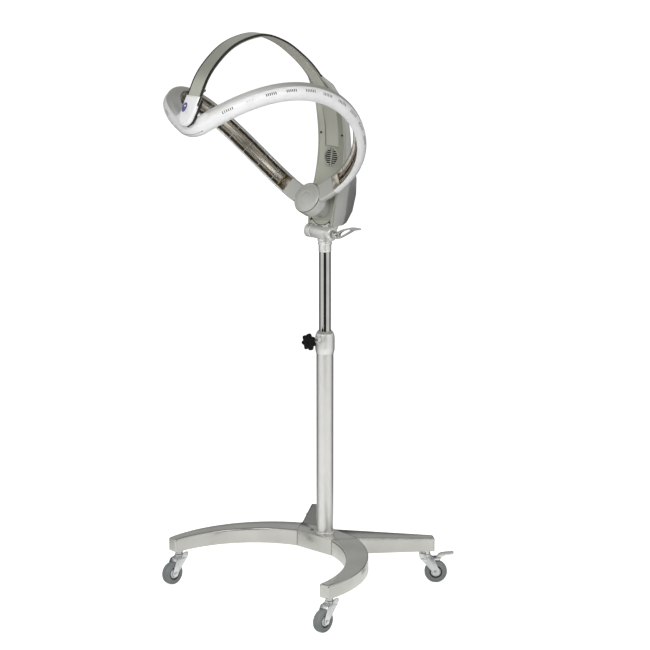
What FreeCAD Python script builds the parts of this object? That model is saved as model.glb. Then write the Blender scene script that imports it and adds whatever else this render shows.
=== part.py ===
import FreeCAD, Part
import math
import os

# Hair color processor: an infrared half-ring pair turning about an inclined axis, carried by an
# arched band and a spine on a height-adjustable wheeled stand.
# Frame: millimetres, +Z up, client side -Y, origin on the floor under the column axis.

V = FreeCAD.Vector
X_AXIS = V(1, 0, 0)
Y_AXIS = V(0, 1, 0)
Z_AXIS = V(0, 0, 1)

# fits and gaps
RUN_GAP = 0.05
BODY_GAP = 0.4
SEAT_GAP = 0.3
WALL = 2.5

# base plan
HUB_TOP = 148.0
HUB_HEIGHT = 47.0
HUB_FRONT_Y = -45.0
HUB_FRONT_X = 68.0
HUB_SIDE_X = 112.0
HUB_SIDE_Y = 20.0
HUB_BACK_Y = 36.0
FRONT_INNER_MID = (226.0, -157.0)
FRONT_INNER_TIP = (283.0, -318.0)
FRONT_OUTER_MID = (262.0, -106.0)
FRONT_OUTER_TIP = (317.0, -314.0)
REAR_OUTER_TIP = (243.0, 196.0)
REAR_INNER_TIP = (215.0, 217.0)
LEG_TIP_TOP = 136.0
LEG_TIP_HEIGHT = 40.0
LEG_EDGE_R = 6.0
LEG_STATIONS = 9
CAP_THICK = 5.0
CAP_INSET = 4.0

# casters
WHEEL_R = 32.5
WHEEL_W = 22.0
TYRE_DEPTH = 9.0
CASTER_TRAIL = 27.0
FORK_WALL = 2.5
FORK_GAP = 2.0
AXLE_R = 4.0
STEM_R = 6.0
STEM_LENGTH = 26.0
FRONT_CASTER_X = 298.0
FRONT_CASTER_Y = -296.0
REAR_CASTER_X = 219.0
REAR_CASTER_Y = 194.0
HEADING_FRONT_RIGHT = 272.0
HEADING_FRONT_LEFT = 268.0
HEADING_REAR_RIGHT = 43.0
HEADING_REAR_LEFT = 150.0
PEDAL_WIDTH = 20.0
PEDAL_TRAIL = 33.0
PEDAL_Z = 2 * WHEEL_R + 7.5

# column
TUBE_R = 24.3
TUBE_WALL = 2.0
TUBE_SEAT = 30.0
TUBE_TOP = 690.0
FOOT_RING_R = 29.5
FOOT_RING_H = 5.0
COLLAR_BOTTOM = 678.0
COLLAR_TOP = 738.0
COLLAR_R = 27.8
COLLAR_NECK_R = 25.6
MAST_R = 16.7
MAST_WALL = 1.8
MAST_BOTTOM = 380.0
MAST_TOP = 1000.0
GUIDE_LENGTH = 40.0
KNOB_Z = 722.0
KNOB_R = 24.5
KNOB_LOBES = 7
KNOB_THICK = 20.0
KNOB_BACK_Y = -55.0
KNOB_SCREW_R = 4.0

# head bracket
SLEEVE_BOTTOM = 973.0
SLEEVE_TOP = 1012.0
SLEEVE_R = 21.0
TILT_Y = -18.0
TILT_Z = 1031.0
BOSS_R = 18.0
BOSS_HALF = 28.0
EAR_THICK = 20.0
PIN_R = 6.0
LEVER_REACH = 92.0
BRIDGE_T = 6.0

# spine
SPINE_FRONT = ((1051, -19.6), (1080, -17), (1126, -8), (1171, 8), (1211, 20), (1256, 27), (1306, 27),
               (1361, 20), (1406, 6), (1446, -20), (1488, -54))
SPINE_HALF = (46, 47, 48, 49, 51, 51.5, 51, 50, 45, 36, 20)
SPINE_DEPTH = (76, 98, 104, 90, 68, 52, 46, 43, 40, 38, 14)
SPINE_SHOULDER = (0.55, 0.5, 0.45, 0.45, 0.45, 0.45, 0.45, 0.45, 0.45, 0.45, 0.45)
SPINE_BACK_HALF = (30, 30, 30, 30, 29, 28, 26, 24, 20, 15, 8)
PLATE_T = 3.5
RIM_W = 5.0
RIM_H = 2.0
SHELL_WALL = 3.0
GRILLE_Z = 1239.0
GRILLE_Y = 24.6
GRILLE_LEAN = 7.3
GRILLE_R = 28.0
FAN_DEPTH = 4.4
GRILLE_ROWS = 9
GRILLE_PITCH = 5.6
SCREW_HEAD_R = 3.2

# ring axis and half-hoops
REAR_PIVOT = V(0, -60, 1130)
FRONT_PIVOT = V(0, -512, 1388)
HOOP_SIDE = 242.0
HOOP_SIDE_POWER = 0.74
HOOP_SIDE_SKEW = -0.10
HOOP_LIFT = 176.0
HOOP_LIFT_POWER = 0.94
HOOP_LIFT_SKEW = -0.04
HOOP_LIFT_CREST = -0.10
HOOP_DRIFT = (12.0, 5.0, -6.0)
PARK_ANGLE = 8.4
BAND_W = 50.0
BAND_OUT = 14.0
BAND_IN = 15.0
HUB_R = 45.0
HUB_FRONT = 17.0
HUB_BACK = 21.0
SHAFT_R = 9.0
SHAFT_LENGTH = 72.0
HOOP_STATIONS = 11
HOOP_START = 9.0
HOOP_END = 168.0
VENT_GROUPS = 10
VENT_PLAIN_GROUP = 1
VENTS_PER_GROUP = 6
VENT_FIRST = 19.7
VENT_GROUP_STEP = 13.45
VENT_GROUP_CLOSING = 0.165
VENT_STEP = 1.15
VENT_LENGTH = 5.6
VENT_WIDTH = 1.6
TUBE_LAMP_R = 4.6
LAMP_SINK = 8.0
LAMP_SPREAD = 9.5
LAMP_SIDES = 12
LAMP_STATIONS = 19
LAMP_START = 17.0
LAMP_END = 163.0

# arch
ARCH_LINE = ((-541, 1392), (-524, 1440), (-505, 1474), (-480, 1518), (-434, 1564), (-377, 1598), (-313, 1614),
             (-253, 1615), (-211, 1603), (-163, 1581), (-122, 1554), (-81, 1522), (-53, 1495), (-22, 1458),
             (10, 1411), (28, 1363), (37, 1308), (38, 1270))
ARCH_W = 48.0
ARCH_T = 9.0
TRIM_T = 1.2
CAP_W = 51.0
CAP_T = 22.0
CAP_LENGTH = 78.0
CAP_SHOULDER = 34.0
CAP_TIP_X = 24.0
CAP_TIP_RISE = 13.0
CAP_TIP_DROP = 9.0
CAP_STAND = 17.5
WINDOW_X = -14.0
WINDOW_LIFT = 42.0
WINDOW_R = 7.0
ARCH_START = 0.075
INNER_STOP = 0.86
CHANNEL_MOUTH = 6.0


def save(name, shapes):
    shape = shapes if not isinstance(shapes, list) else Part.makeCompound(shapes)
    shape.exportStep("parts/" + name + ".step")


def rod(p, q, r):
    d = q.sub(p)
    return Part.makeCylinder(r, d.Length, p, d)


def pipe(p, q, r_out, r_in):
    return rod(p, q, r_out).cut(rod(p, q, r_in))


def polygon(points):
    return Part.makePolygon(points + [points[0]])


def prism(points, direction):
    return Part.Face(polygon(points)).extrude(direction)


def revolve_z(profile, centre):
    points = [V(centre.x + r, centre.y, centre.z + z) for r, z in profile]
    return Part.Face(polygon(points)).revolve(centre, Z_AXIS, 360)


def spun(profile, centre, direction):
    shape = revolve_z(profile, V(0, 0, 0))
    turn = FreeCAD.Rotation(Z_AXIS, direction)
    shape.Placement = FreeCAD.Placement(centre, turn)
    return shape


def box_at(centre, sx, sy, sz):
    return Part.makeBox(sx, sy, sz, centre.sub(V(sx / 2, sy / 2, sz / 2)))


def mirror_x(shape):
    return shape.mirror(V(0, 0, 0), X_AXIS)


def both_sides(shape):
    return [shape, mirror_x(shape)]


# ---------------------------------------------------------------- base

def arc_points(start, mid, end, n):
    arc = Part.Arc(V(*start, 0), V(*mid, 0), V(*end, 0))
    return arc.toShape().discretize(n)


def leg_section(inner, outer, fraction, shrink=0.0):
    top = HUB_TOP + (LEG_TIP_TOP - HUB_TOP) * fraction - shrink
    height = HUB_HEIGHT + (LEG_TIP_HEIGHT - HUB_HEIGHT) * fraction
    low = top + shrink - height + shrink
    across = outer.sub(inner).normalize()
    a = inner.add(across * shrink)
    b = outer.sub(across * shrink)
    c = LEG_EDGE_R * 0.3
    corners = [a + V(0, 0, low), a + V(0, 0, top - LEG_EDGE_R), a + across * c + V(0, 0, top - c),
               a + across * LEG_EDGE_R + V(0, 0, top), b - across * LEG_EDGE_R + V(0, 0, top),
               b - across * c + V(0, 0, top - c), b + V(0, 0, top - LEG_EDGE_R), b + V(0, 0, low)]
    return polygon(corners)


def front_leg_rails():
    inner = arc_points((HUB_FRONT_X, HUB_FRONT_Y), FRONT_INNER_MID, FRONT_INNER_TIP, LEG_STATIONS)
    outer = arc_points((HUB_SIDE_X, HUB_SIDE_Y), FRONT_OUTER_MID, FRONT_OUTER_TIP, LEG_STATIONS)
    return inner, outer


def rear_leg_rails():
    inner = [V(0, HUB_BACK_Y, 0), V(*REAR_INNER_TIP, 0)]
    outer = [V(HUB_SIDE_X, HUB_SIDE_Y, 0), V(*REAR_OUTER_TIP, 0)]
    return inner, outer


def leg(rails, ruled):
    inner, outer = rails
    last = len(inner) - 1
    sections = [leg_section(a, b, i / last) for i, (a, b) in enumerate(zip(inner, outer))]
    return Part.makeLoft(sections, True, ruled)


def stem_hole(x, y):
    return Part.makeCylinder(STEM_R, STEM_LENGTH, V(x, y, LEG_TIP_TOP - LEG_TIP_HEIGHT - 1))


def front_legs():
    shape = leg(front_leg_rails(), False).cut(stem_hole(FRONT_CASTER_X, FRONT_CASTER_Y))
    return both_sides(shape)


def rear_legs():
    shape = leg(rear_leg_rails(), True).cut(stem_hole(REAR_CASTER_X, REAR_CASTER_Y))
    return both_sides(shape)


def leg_cap(rails):
    inner, outer = rails
    a, b = inner[-1], outer[-1]
    away = a.add(b).sub(inner[-2]).sub(outer[-2])
    across = b.sub(a).normalize()
    out = across.cross(Z_AXIS)
    if out.dot(away) < 0:
        out = out * -1
    start = leg_section(a, b, 1.0)
    lip = leg_section(a + out * CAP_THICK * 0.5, b + out * CAP_THICK * 0.5, 1.0, 0.6)
    face = leg_section(a + out * CAP_THICK, b + out * CAP_THICK, 1.0, CAP_INSET)
    return Part.makeLoft([start, lip, face], True, True)


def leg_end_caps():
    return both_sides(leg_cap(front_leg_rails())) + both_sides(leg_cap(rear_leg_rails()))


def base_hub():
    low = HUB_TOP - HUB_HEIGHT
    plan = [V(-HUB_FRONT_X, HUB_FRONT_Y, low), V(HUB_FRONT_X, HUB_FRONT_Y, low),
            V(HUB_SIDE_X, HUB_SIDE_Y, low), V(0, HUB_BACK_Y, low), V(-HUB_SIDE_X, HUB_SIDE_Y, low)]
    block = prism(plan, V(0, 0, HUB_HEIGHT))
    front_edges = [e for e in block.Edges if e.BoundBox.YMax < HUB_FRONT_Y + 1 and e.BoundBox.ZMin > HUB_TOP - 1]
    block = block.makeFillet(LEG_EDGE_R * 0.6, front_edges)
    seat = Part.makeCylinder(TUBE_R, TUBE_SEAT, V(0, 0, HUB_TOP - TUBE_SEAT))
    drain = Part.makeCylinder(TUBE_R - 8, HUB_HEIGHT, V(0, 0, low))
    level_hole = Part.makeCylinder(3.0, 4.0, V(-38, -14, HUB_TOP - 4))
    return block.cut(seat).cut(drain).cut(level_hole)


def hub_bolt():
    profile = [(0, 0), (2.9, 0), (2.9, 3.4), (5.2, 3.4), (4.6, 5.6), (0, 6.2)]
    return revolve_z(profile, V(-38, -14, HUB_TOP - 3.4))


# ---------------------------------------------------------------- casters

def caster_axes(x, y, heading):
    angle = math.radians(heading)
    trail = V(math.cos(angle), math.sin(angle), 0)
    side = V(-math.sin(angle), math.cos(angle), 0)
    top = V(x, y, LEG_TIP_TOP - LEG_TIP_HEIGHT)
    wheel = V(x, y, WHEEL_R) + trail * CASTER_TRAIL
    return trail, side, top, wheel


def caster_tyre(x, y, heading):
    trail, side, top, wheel = caster_axes(x, y, heading)
    h = WHEEL_W / 2
    rim = WHEEL_R - TYRE_DEPTH
    profile = [(rim, -h), (WHEEL_R - 4, -h), (WHEEL_R - 1, -h + 2.5), (WHEEL_R, -h * 0.45), (WHEEL_R, h * 0.45),
               (WHEEL_R - 1, h - 2.5), (WHEEL_R - 4, h), (rim, h)]
    return spun(profile, wheel, side)


def caster_core(x, y, heading):
    trail, side, top, wheel = caster_axes(x, y, heading)
    h = WHEEL_W / 2
    rim = WHEEL_R - TYRE_DEPTH
    bore = AXLE_R + RUN_GAP
    profile = [(bore, -h - 1), (9, -h - 1), (10.5, -h + 3), (rim - 3, -h + 4), (rim - 2, -h), (rim, -h),
               (rim, h), (rim - 2, h), (rim - 3, h - 4), (10.5, h - 3), (9, h + 1), (bore, h + 1)]
    return spun(profile, wheel, side)


def riveted_axle(wheel, side):
    w = WHEEL_W / 2 + FORK_GAP + FORK_WALL
    profile = [(0, -w - 5), (4.5, -w - 4.4), (6.5, -w - 3.2), (6.5, -w), (AXLE_R, -w), (AXLE_R, w), (6.5, w),
               (6.5, w + 3.2), (4.5, w + 4.4), (0, w + 5)]
    return spun(profile, wheel, side)


def caster_fork(x, y, heading):
    trail, side, top, wheel = caster_axes(x, y, heading)
    half = WHEEL_W / 2 + FORK_GAP
    crown_z = 2 * WHEEL_R + 7
    crown = V(x, y, crown_z)
    cheeks = []
    for s in (-1, 1):
        base = crown + side * (s * half)
        outline = [base + trail * -19, base + trail * 21,
                   wheel + side * (s * half) + trail * 11 + V(0, 0, 4),
                   wheel + side * (s * half) + trail * 8 + V(0, 0, -9),
                   wheel + side * (s * half) + trail * -8 + V(0, 0, -9),
                   wheel + side * (s * half) + trail * -12 + V(0, 0, 4)]
        cheek = prism(outline, side * (s * FORK_WALL))
        cheek = cheek.cut(Part.makeCylinder(AXLE_R, 4 * half, wheel - side * (2 * half), side))
        cheeks.append(cheek)
    w = half + FORK_WALL
    plan = [crown + trail * -19 - side * w, crown + trail * 14 - side * w, crown + trail * 21 - side * (w - 6),
            crown + trail * 21 + side * (w - 6), crown + trail * 14 + side * w, crown + trail * -19 + side * w]
    bridge = prism(plan, V(0, 0, 3.0))
    cup = revolve_z([(0, 2.5), (20, 2.5), (20, 6), (17, 11), (12, 13), (0, 13)], crown)
    bore = Part.makeCylinder(STEM_R + RUN_GAP, 40, V(x, y, crown_z - 4))
    pocket = Part.makeCylinder(9.5, 6.0, V(x, y, crown_z - 3.4))
    body = cheeks[0].fuse([cheeks[1], bridge, cup]).cut(bore).cut(pocket)
    return body.fuse(riveted_axle(wheel, side)).removeSplitter()


def caster_stem(x, y):
    top = LEG_TIP_TOP - LEG_TIP_HEIGHT
    crown_z = 2 * WHEEL_R + 7
    z = [crown_z - 0.4 - 3, crown_z - 0.4, top - 10.4, top, top + STEM_LENGTH - 1]
    profile = [(0, z[0]), (8.5, z[0]), (8.5, z[1]), (STEM_R, z[1]), (STEM_R, z[2]), (11, z[2]), (11, z[3]),
               (STEM_R, z[3]), (STEM_R, z[4]), (0, z[4])]
    return revolve_z(profile, V(x, y, 0))


def caster_stems():
    return both_sides(caster_stem(FRONT_CASTER_X, FRONT_CASTER_Y)) + both_sides(
        caster_stem(REAR_CASTER_X, REAR_CASTER_Y))


def brake_pedal(x, y, heading):
    trail, side, top, wheel = caster_axes(x, y, heading)
    pivot = V(x, y, PEDAL_Z) + trail * PEDAL_TRAIL
    w = PEDAL_WIDTH / 2
    line = [(0, -5), (8, -3), (26, 6), (40, 13), (45, 14), (44.5, 17), (38, 16), (24, 10.5), (8, 5), (0, 5)]
    outline = [pivot - side * w + trail * a + V(0, 0, b) for a, b in line]
    pad = prism(outline, side * (2 * w))
    eye = Part.makeCylinder(5.0, 2 * w, pivot - side * w, side)
    bore = Part.makeCylinder(2.5 + RUN_GAP, 4 * w, pivot - side * (2 * w), side)
    ribs = [prism([pivot - side * (w - 2) + trail * a + V(0, 0, b + 0.4 * (a - 12)) for a, b in
                   ((12 + 7 * k, 4.5), (14 + 7 * k, 4.5), (14 + 7 * k, 8.2), (12 + 7 * k, 8.2))], side * (2 * w - 4))
            for k in range(3)]
    return pad.fuse([eye] + ribs).cut(bore).removeSplitter()


def pedal_bracket(x, y, heading):
    trail, side, top, wheel = caster_axes(x, y, heading)
    pivot = V(x, y, PEDAL_Z) + trail * PEDAL_TRAIL
    w = PEDAL_WIDTH / 2 + BODY_GAP
    lugs = []
    for s in (-1, 1):
        root = pivot + side * (s * w)
        outline = [root + trail * -14 + V(0, 0, -4), root + trail * 3 + V(0, 0, -4), root + trail * 5,
                   root + trail * 3 + V(0, 0, 4), root + trail * -14 + V(0, 0, 2.4)]
        lugs.append(prism(outline, side * (s * 2.5)))
    pin = Part.makeCylinder(2.5, 2 * w, pivot - side * w, side)
    return lugs[0].fuse([lugs[1], pin])


def braked_fork(x, y, heading):
    return caster_fork(x, y, heading).fuse(pedal_bracket(x, y, heading)).removeSplitter()


# ---------------------------------------------------------------- column and mast

def column_foot_ring():
    profile = [(TUBE_R, 0), (FOOT_RING_R, 0), (FOOT_RING_R - 1, FOOT_RING_H - 1.5),
               (FOOT_RING_R - 3.5, FOOT_RING_H), (TUBE_R, FOOT_RING_H)]
    return revolve_z(profile, V(0, 0, HUB_TOP))


def lower_column():
    bottom = HUB_TOP - TUBE_SEAT
    shape = pipe(V(0, 0, bottom), V(0, 0, TUBE_TOP), TUBE_R, TUBE_R - TUBE_WALL)
    return shape


def knob_bore(r, length):
    return Part.makeCylinder(r, length, V(0, 0, KNOB_Z), V(0, -1, 0))


def column_collar():
    h = COLLAR_TOP - COLLAR_BOTTOM
    seat = TUBE_TOP - COLLAR_BOTTOM
    inner = MAST_R + 3.0
    profile = [(TUBE_R, 0), (COLLAR_NECK_R, 0), (COLLAR_R - 0.5, h * 0.18), (COLLAR_R, h * 0.5),
               (COLLAR_R - 0.6, h * 0.82), (COLLAR_NECK_R, h - 2), (COLLAR_NECK_R - 3, h), (inner, h),
               (inner, seat), (TUBE_R, seat)]
    body = revolve_z(profile, V(0, 0, COLLAR_BOTTOM))
    boss = knob_bore(8.5, 35.5).cut(Part.makeCylinder(COLLAR_NECK_R - 3, h, V(0, 0, COLLAR_BOTTOM)))
    return body.fuse(boss).cut(knob_bore(KNOB_SCREW_R + RUN_GAP, 60)).removeSplitter()


def guide_bush():
    inner = MAST_R + RUN_GAP
    outer = MAST_R + 3.0
    top = COLLAR_TOP + 5
    z = [TUBE_TOP, COLLAR_TOP, COLLAR_TOP, top]
    profile = [(inner, z[0]), (outer, z[0]), (outer, z[1]), (outer + 2.5, z[2]), (outer + 1.5, z[3]), (inner, z[3])]
    return revolve_z(profile, V(0, 0, 0)).cut(knob_bore(KNOB_SCREW_R + RUN_GAP, 60))


def mast_tube():
    return pipe(V(0, 0, MAST_BOTTOM), V(0, 0, MAST_TOP), MAST_R, MAST_R - MAST_WALL)


def mast_guide():
    r_out = TUBE_R - TUBE_WALL - RUN_GAP
    profile = [(MAST_R - MAST_WALL, -8), (MAST_R - MAST_WALL, 0), (MAST_R, 0), (MAST_R, GUIDE_LENGTH),
               (r_out - 2, GUIDE_LENGTH), (r_out, GUIDE_LENGTH - 4), (r_out, -6), (r_out - 2, -8)]
    return revolve_z(profile, V(0, 0, MAST_BOTTOM))


def lobed_outline(y):
    points = []
    n = KNOB_LOBES * 8
    for i in range(n):
        a = 2 * math.pi * i / n
        r = KNOB_R * (0.88 + 0.12 * math.cos(KNOB_LOBES * a))
        points.append(V(r * math.sin(a), y, KNOB_Z + r * math.cos(a)))
    curve = Part.BSplineCurve()
    curve.interpolate(points, PeriodicFlag=True)
    return Part.Wire(curve.toShape())


def height_knob():
    front = KNOB_BACK_Y - KNOB_THICK
    body = Part.Face(lobed_outline(KNOB_BACK_Y - 4)).extrude(V(0, -(KNOB_THICK - 6), 0))
    neck = Part.makeCone(11, 16, 4.2, V(0, KNOB_BACK_Y, KNOB_Z), V(0, -1, 0))
    crown = Part.makeCone(17, 12, 2.4, V(0, front + 2.2, KNOB_Z), V(0, -1, 0))
    bore = Part.makeCylinder(KNOB_SCREW_R, KNOB_THICK - 6, V(0, KNOB_BACK_Y + 0.1, KNOB_Z), V(0, -1, 0))
    return body.fuse([neck, crown]).cut(bore).removeSplitter()


def knob_screw():
    tip = -(MAST_R + BODY_GAP)
    profile = [(0, 0), (KNOB_SCREW_R - 1, 0), (KNOB_SCREW_R, 1.2), (KNOB_SCREW_R, 24)]
    r = KNOB_SCREW_R
    z = 24.0
    while z < 36:
        profile += [(r - 0.5, z + 0.6), (r, z + 1.2)]
        z += 1.2
    end = -(KNOB_BACK_Y - tip) + KNOB_THICK - 6.4
    profile += [(r, end), (0, end)]
    return spun(profile, V(0, tip, KNOB_Z), V(0, -1, 0))


# ---------------------------------------------------------------- swivel head bracket

def mast_sleeve():
    h = SLEEVE_TOP - SLEEVE_BOTTOM
    bore = MAST_R + RUN_GAP
    profile = [(bore, 0), (SLEEVE_R - 3.5, 0), (SLEEVE_R - 3, 2), (SLEEVE_R - 3, 20), (SLEEVE_R - 1, 22),
               (SLEEVE_R - 1, 27), (SLEEVE_R - 3, 28), (SLEEVE_R - 3, 30), (SLEEVE_R, 31), (SLEEVE_R, h),
               (0, h), (0, MAST_TOP + 2 - SLEEVE_BOTTOM), (bore, MAST_TOP + 2 - SLEEVE_BOTTOM)]
    body = revolve_z(profile, V(0, 0, SLEEVE_BOTTOM))
    hole_z = SLEEVE_TOP - 5
    return body.cut(rod(V(10, -10, hole_z), V(40, -40, hole_z), 2.4))


def tilt_knuckle():
    axis_point = V(-BOSS_HALF, TILT_Y, TILT_Z)
    boss = Part.makeCylinder(BOSS_R, 2 * BOSS_HALF, axis_point, X_AXIS)
    neck = [V(-BOSS_HALF + 4, TILT_Y - 13, TILT_Z - 6), V(-BOSS_HALF + 4, TILT_Y + 13, TILT_Z - 6),
            V(-BOSS_HALF + 4, 19, SLEEVE_TOP + 3), V(-BOSS_HALF + 4, 19, SLEEVE_TOP),
            V(-BOSS_HALF + 4, -20, SLEEVE_TOP), V(-BOSS_HALF + 4, TILT_Y - 15, SLEEVE_TOP + 6)]
    web = prism(neck, V(2 * BOSS_HALF - 8, 0, 0))
    trim = Part.makeBox(200, 200, 200, V(-100, -100, SLEEVE_TOP - 200))
    bore = Part.makeCylinder(PIN_R + RUN_GAP, 200, V(-100, TILT_Y, TILT_Z), X_AXIS)
    return boss.fuse(web).cut(trim).cut(bore).removeSplitter()


def ear_bridge(grow):
    x = SPINE_HALF[0] - SHELL_WALL - SEAT_GAP + grow
    z = SPINE_FRONT[0][0]
    plan = [V(-x, -15 - grow, z), V(x, -15 - grow, z), V(x, 18, z), V(27, 46 + grow, z), V(-27, 46 + grow, z),
            V(-x, 18, z)]
    return prism(plan, V(0, 0, BRIDGE_T + grow))


def tilt_ears():
    gap = BODY_GAP
    ears = []
    post_t = SPINE_HALF[0] - SHELL_WALL - SEAT_GAP - BOSS_HALF - gap
    top = SPINE_FRONT[0][0]
    for s in (-1, 1):
        x0 = s * (BOSS_HALF + gap)
        ear = Part.makeCylinder(BOSS_R + 1.5, EAR_THICK, V(x0, TILT_Y, TILT_Z), V(s, 0, 0))
        post = prism([V(x0, TILT_Y - 13, TILT_Z), V(x0, TILT_Y + 17, TILT_Z), V(x0, TILT_Y + 30, top),
                      V(x0, TILT_Y + 4, top)], V(s * post_t, 0, 0))
        rim = [e for e in ear.Edges if abs(e.BoundBox.XMin - (x0 + s * EAR_THICK)) < 0.5
               and abs(e.BoundBox.XMax - (x0 + s * EAR_THICK)) < 0.5]
        ears.append(ear.makeFillet(4.0, rim).fuse(post))
    bore = Part.makeCylinder(PIN_R, 200, V(-100, TILT_Y, TILT_Z), X_AXIS)
    sweep = Part.makeCylinder(BOSS_R + gap, 2 * (BOSS_HALF + gap), V(-BOSS_HALF - gap, TILT_Y, TILT_Z), X_AXIS)
    return ears[0].fuse([ears[1], ear_bridge(0.0)]).cut(bore).cut(sweep).removeSplitter()


def tilt_pin():
    left = -(BOSS_HALF + BODY_GAP + EAR_THICK)
    right = BOSS_HALF + BODY_GAP + EAR_THICK
    profile = [(0, left - 4), (9, left - 4), (10, left), (PIN_R, left), (PIN_R, right + 14.5), (0, right + 14.5)]
    return spun(profile, V(0, TILT_Y, TILT_Z), X_AXIS)


def tilt_lever():
    root = BOSS_HALF + BODY_GAP + EAR_THICK + BODY_GAP
    hub = Part.makeCylinder(10.0, 14.0, V(root, TILT_Y, TILT_Z), X_AXIS)
    dome = Part.makeCone(10.0, 7.0, 4.0, V(root + 14, TILT_Y, TILT_Z), X_AXIS)
    outer = [(0, 6), (26, 20), (60, 30), (LEVER_REACH, 31), (LEVER_REACH, 27), (70, 22), (42, 6), (12, -10), (0, -9)]
    inner = [(15, 5), (28, 14.5), (52, 23.5), (60, 22.5), (42, 11.5), (24, 1), (15, -3)]
    place = [V(root + 10 + a, TILT_Y - 4, TILT_Z + b) for a, b in outer]
    loop = prism(place, V(0, 9, 0))
    window = prism([V(root + 10 + a, TILT_Y - 10, TILT_Z + b) for a, b in inner], V(0, 20, 0))
    bore = Part.makeCylinder(PIN_R + RUN_GAP, 18.2 - 2.0, V(root - 1, TILT_Y, TILT_Z), X_AXIS)
    return hub.fuse([dome, loop.cut(window)]).cut(bore).removeSplitter()


# ---------------------------------------------------------------- spine

def spine_levels():
    rows = zip(SPINE_FRONT, SPINE_HALF, SPINE_DEPTH, SPINE_SHOULDER, SPINE_BACK_HALF)
    return [(float(z), float(y), w, d, f, b) for (z, y), w, d, f, b in rows]


def plate_section(z, y, w):
    p = [(-w, -RIM_H), (-w + RIM_W, -RIM_H), (-w + RIM_W + 1, 0), (w - RIM_W - 1, 0), (w - RIM_W, -RIM_H),
         (w, -RIM_H), (w, PLATE_T), (-w, PLATE_T)]
    return polygon([V(a, y + b, z) for a, b in p])


def axis_unit():
    return FRONT_PIVOT.sub(REAR_PIVOT).normalize()


def lift_unit():
    return X_AXIS.cross(axis_unit()) * -1


def on_grille(shape):
    lean = FreeCAD.Rotation(X_AXIS, -GRILLE_LEAN)
    shape.Placement = FreeCAD.Placement(V(0, GRILLE_Y, GRILLE_Z), lean)
    return shape


def grille_bore(r):
    return on_grille(Part.makeCylinder(r, 60, V(0, -40, 0), Y_AXIS))


def spine_screw_places():
    places = []
    for z, y, x in ((1304.0, 26.8, 40.0), (1063.0, -19.0, 35.5)):
        places += [V(x, y, z), V(-x, y, z)]
    return places


def spine_front_cover():
    sections = [plate_section(z, y, w) for z, y, w, d, f, b in spine_levels()]
    plate = Part.makeLoft(sections, True, False)
    plate = plate.cut(grille_bore(GRILLE_R + SEAT_GAP))
    plate = plate.cut(rod(REAR_PIVOT, REAR_PIVOT - axis_unit() * 120, 30.0))
    for p in spine_screw_places():
        plate = plate.cut(Part.makeCylinder(1.8, 20, p - V(0, 10, 0), Y_AXIS))
    return plate.cut(arch_channel())


def arch_channel():
    half = ARCH_W / 2 + TRIM_T + 0.1 + SEAT_GAP
    return arch_band(-SEAT_GAP, ARCH_T + CHANNEL_MOUTH, -half, half, 0.5, 1.0, SEAT_GAP)


def shell_section(z, y, w, d, f, b, inset):
    front = y + PLATE_T
    w0 = w - inset
    b0 = b - inset * 0.6
    back = y + d - inset
    mid = y + d * f
    points = [(-w0, front), (-w0 - 2 * (inset == 0), mid), (-b0, back), (b0, back), (w0 + 2 * (inset == 0), mid),
              (w0, front)]
    return polygon([V(a, c, z) for a, c in points])


def plate_clearance(z, y, w):
    back = y + PLATE_T + SEAT_GAP
    return polygon([V(-w - 9, y - 20, z), V(w + 9, y - 20, z), V(w + 9, back, z), V(-w - 9, back, z)])


def spine_rear_shell():
    levels = spine_levels()
    outer = Part.makeLoft([shell_section(*s, 0) for s in levels], True, True)
    plate_side = Part.makeLoft([plate_clearance(z, y, w) for z, y, w, d, f, b in levels], True, False)
    inner_levels = levels[:-1]
    hollow = Part.makeLoft([shell_section(*s, SHELL_WALL) for s in inner_levels], True, True)
    floor = Part.makeBox(200, 200, SHELL_WALL, V(-100, -100, levels[0][0]))
    louvres = [Part.makeBox(34, 60, 3.0, V(-17, 60, 1190 + 9 * i)) for i in range(6)]
    body = outer.cut(hollow.cut(floor)).cut(plate_side).cut(ear_bridge(SEAT_GAP))
    for cutter in louvres + [arch_channel()]:
        body = body.cut(cutter)
    return body


def spine_screws():
    profile = [(0, -6), (1.5, -6), (1.5, 0), (SCREW_HEAD_R, 0), (SCREW_HEAD_R - 0.6, 1.6), (1.2, 2.0), (0, 1.2)]
    return [spun(profile, p - V(0, 0.2, 0), V(0, -1, 0)) for p in spine_screw_places()]


def fan_grille():
    disc = Part.makeCylinder(GRILLE_R, PLATE_T, V(0, 0, 0), Y_AXIS)
    for i in range(GRILLE_ROWS):
        dz = (i - (GRILLE_ROWS - 1) / 2) * GRILLE_PITCH
        half = math.sqrt((GRILLE_R - 3.0) ** 2 - (abs(dz) + 1.4) ** 2)
        for s in (-1, 1):
            slot = Part.makeBox(half - 2.2, 20, 2.6, V(2.2 if s > 0 else -half, -8, dz - 1.3))
            disc = disc.cut(slot)
    return on_grille(disc)


def fan_frame():
    side = 60.0
    block = Part.makeBox(side, 20, side, V(-side / 2, FAN_DEPTH, -side / 2))
    block = block.cut(Part.makeCylinder(27.5, 60, V(0, FAN_DEPTH - 10, 0), Y_AXIS))
    strut = Part.makeBox(57, 3, 5, V(-28.5, FAN_DEPTH + 17, -2.5))
    post = Part.makeBox(5, 3, 57, V(-2.5, FAN_DEPTH + 17, -28.5))
    pin = Part.makeCylinder(2.0, 15, V(0, FAN_DEPTH + 2, 0), Y_AXIS)
    return on_grille(block.fuse([strut, post, pin]).removeSplitter())


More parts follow.
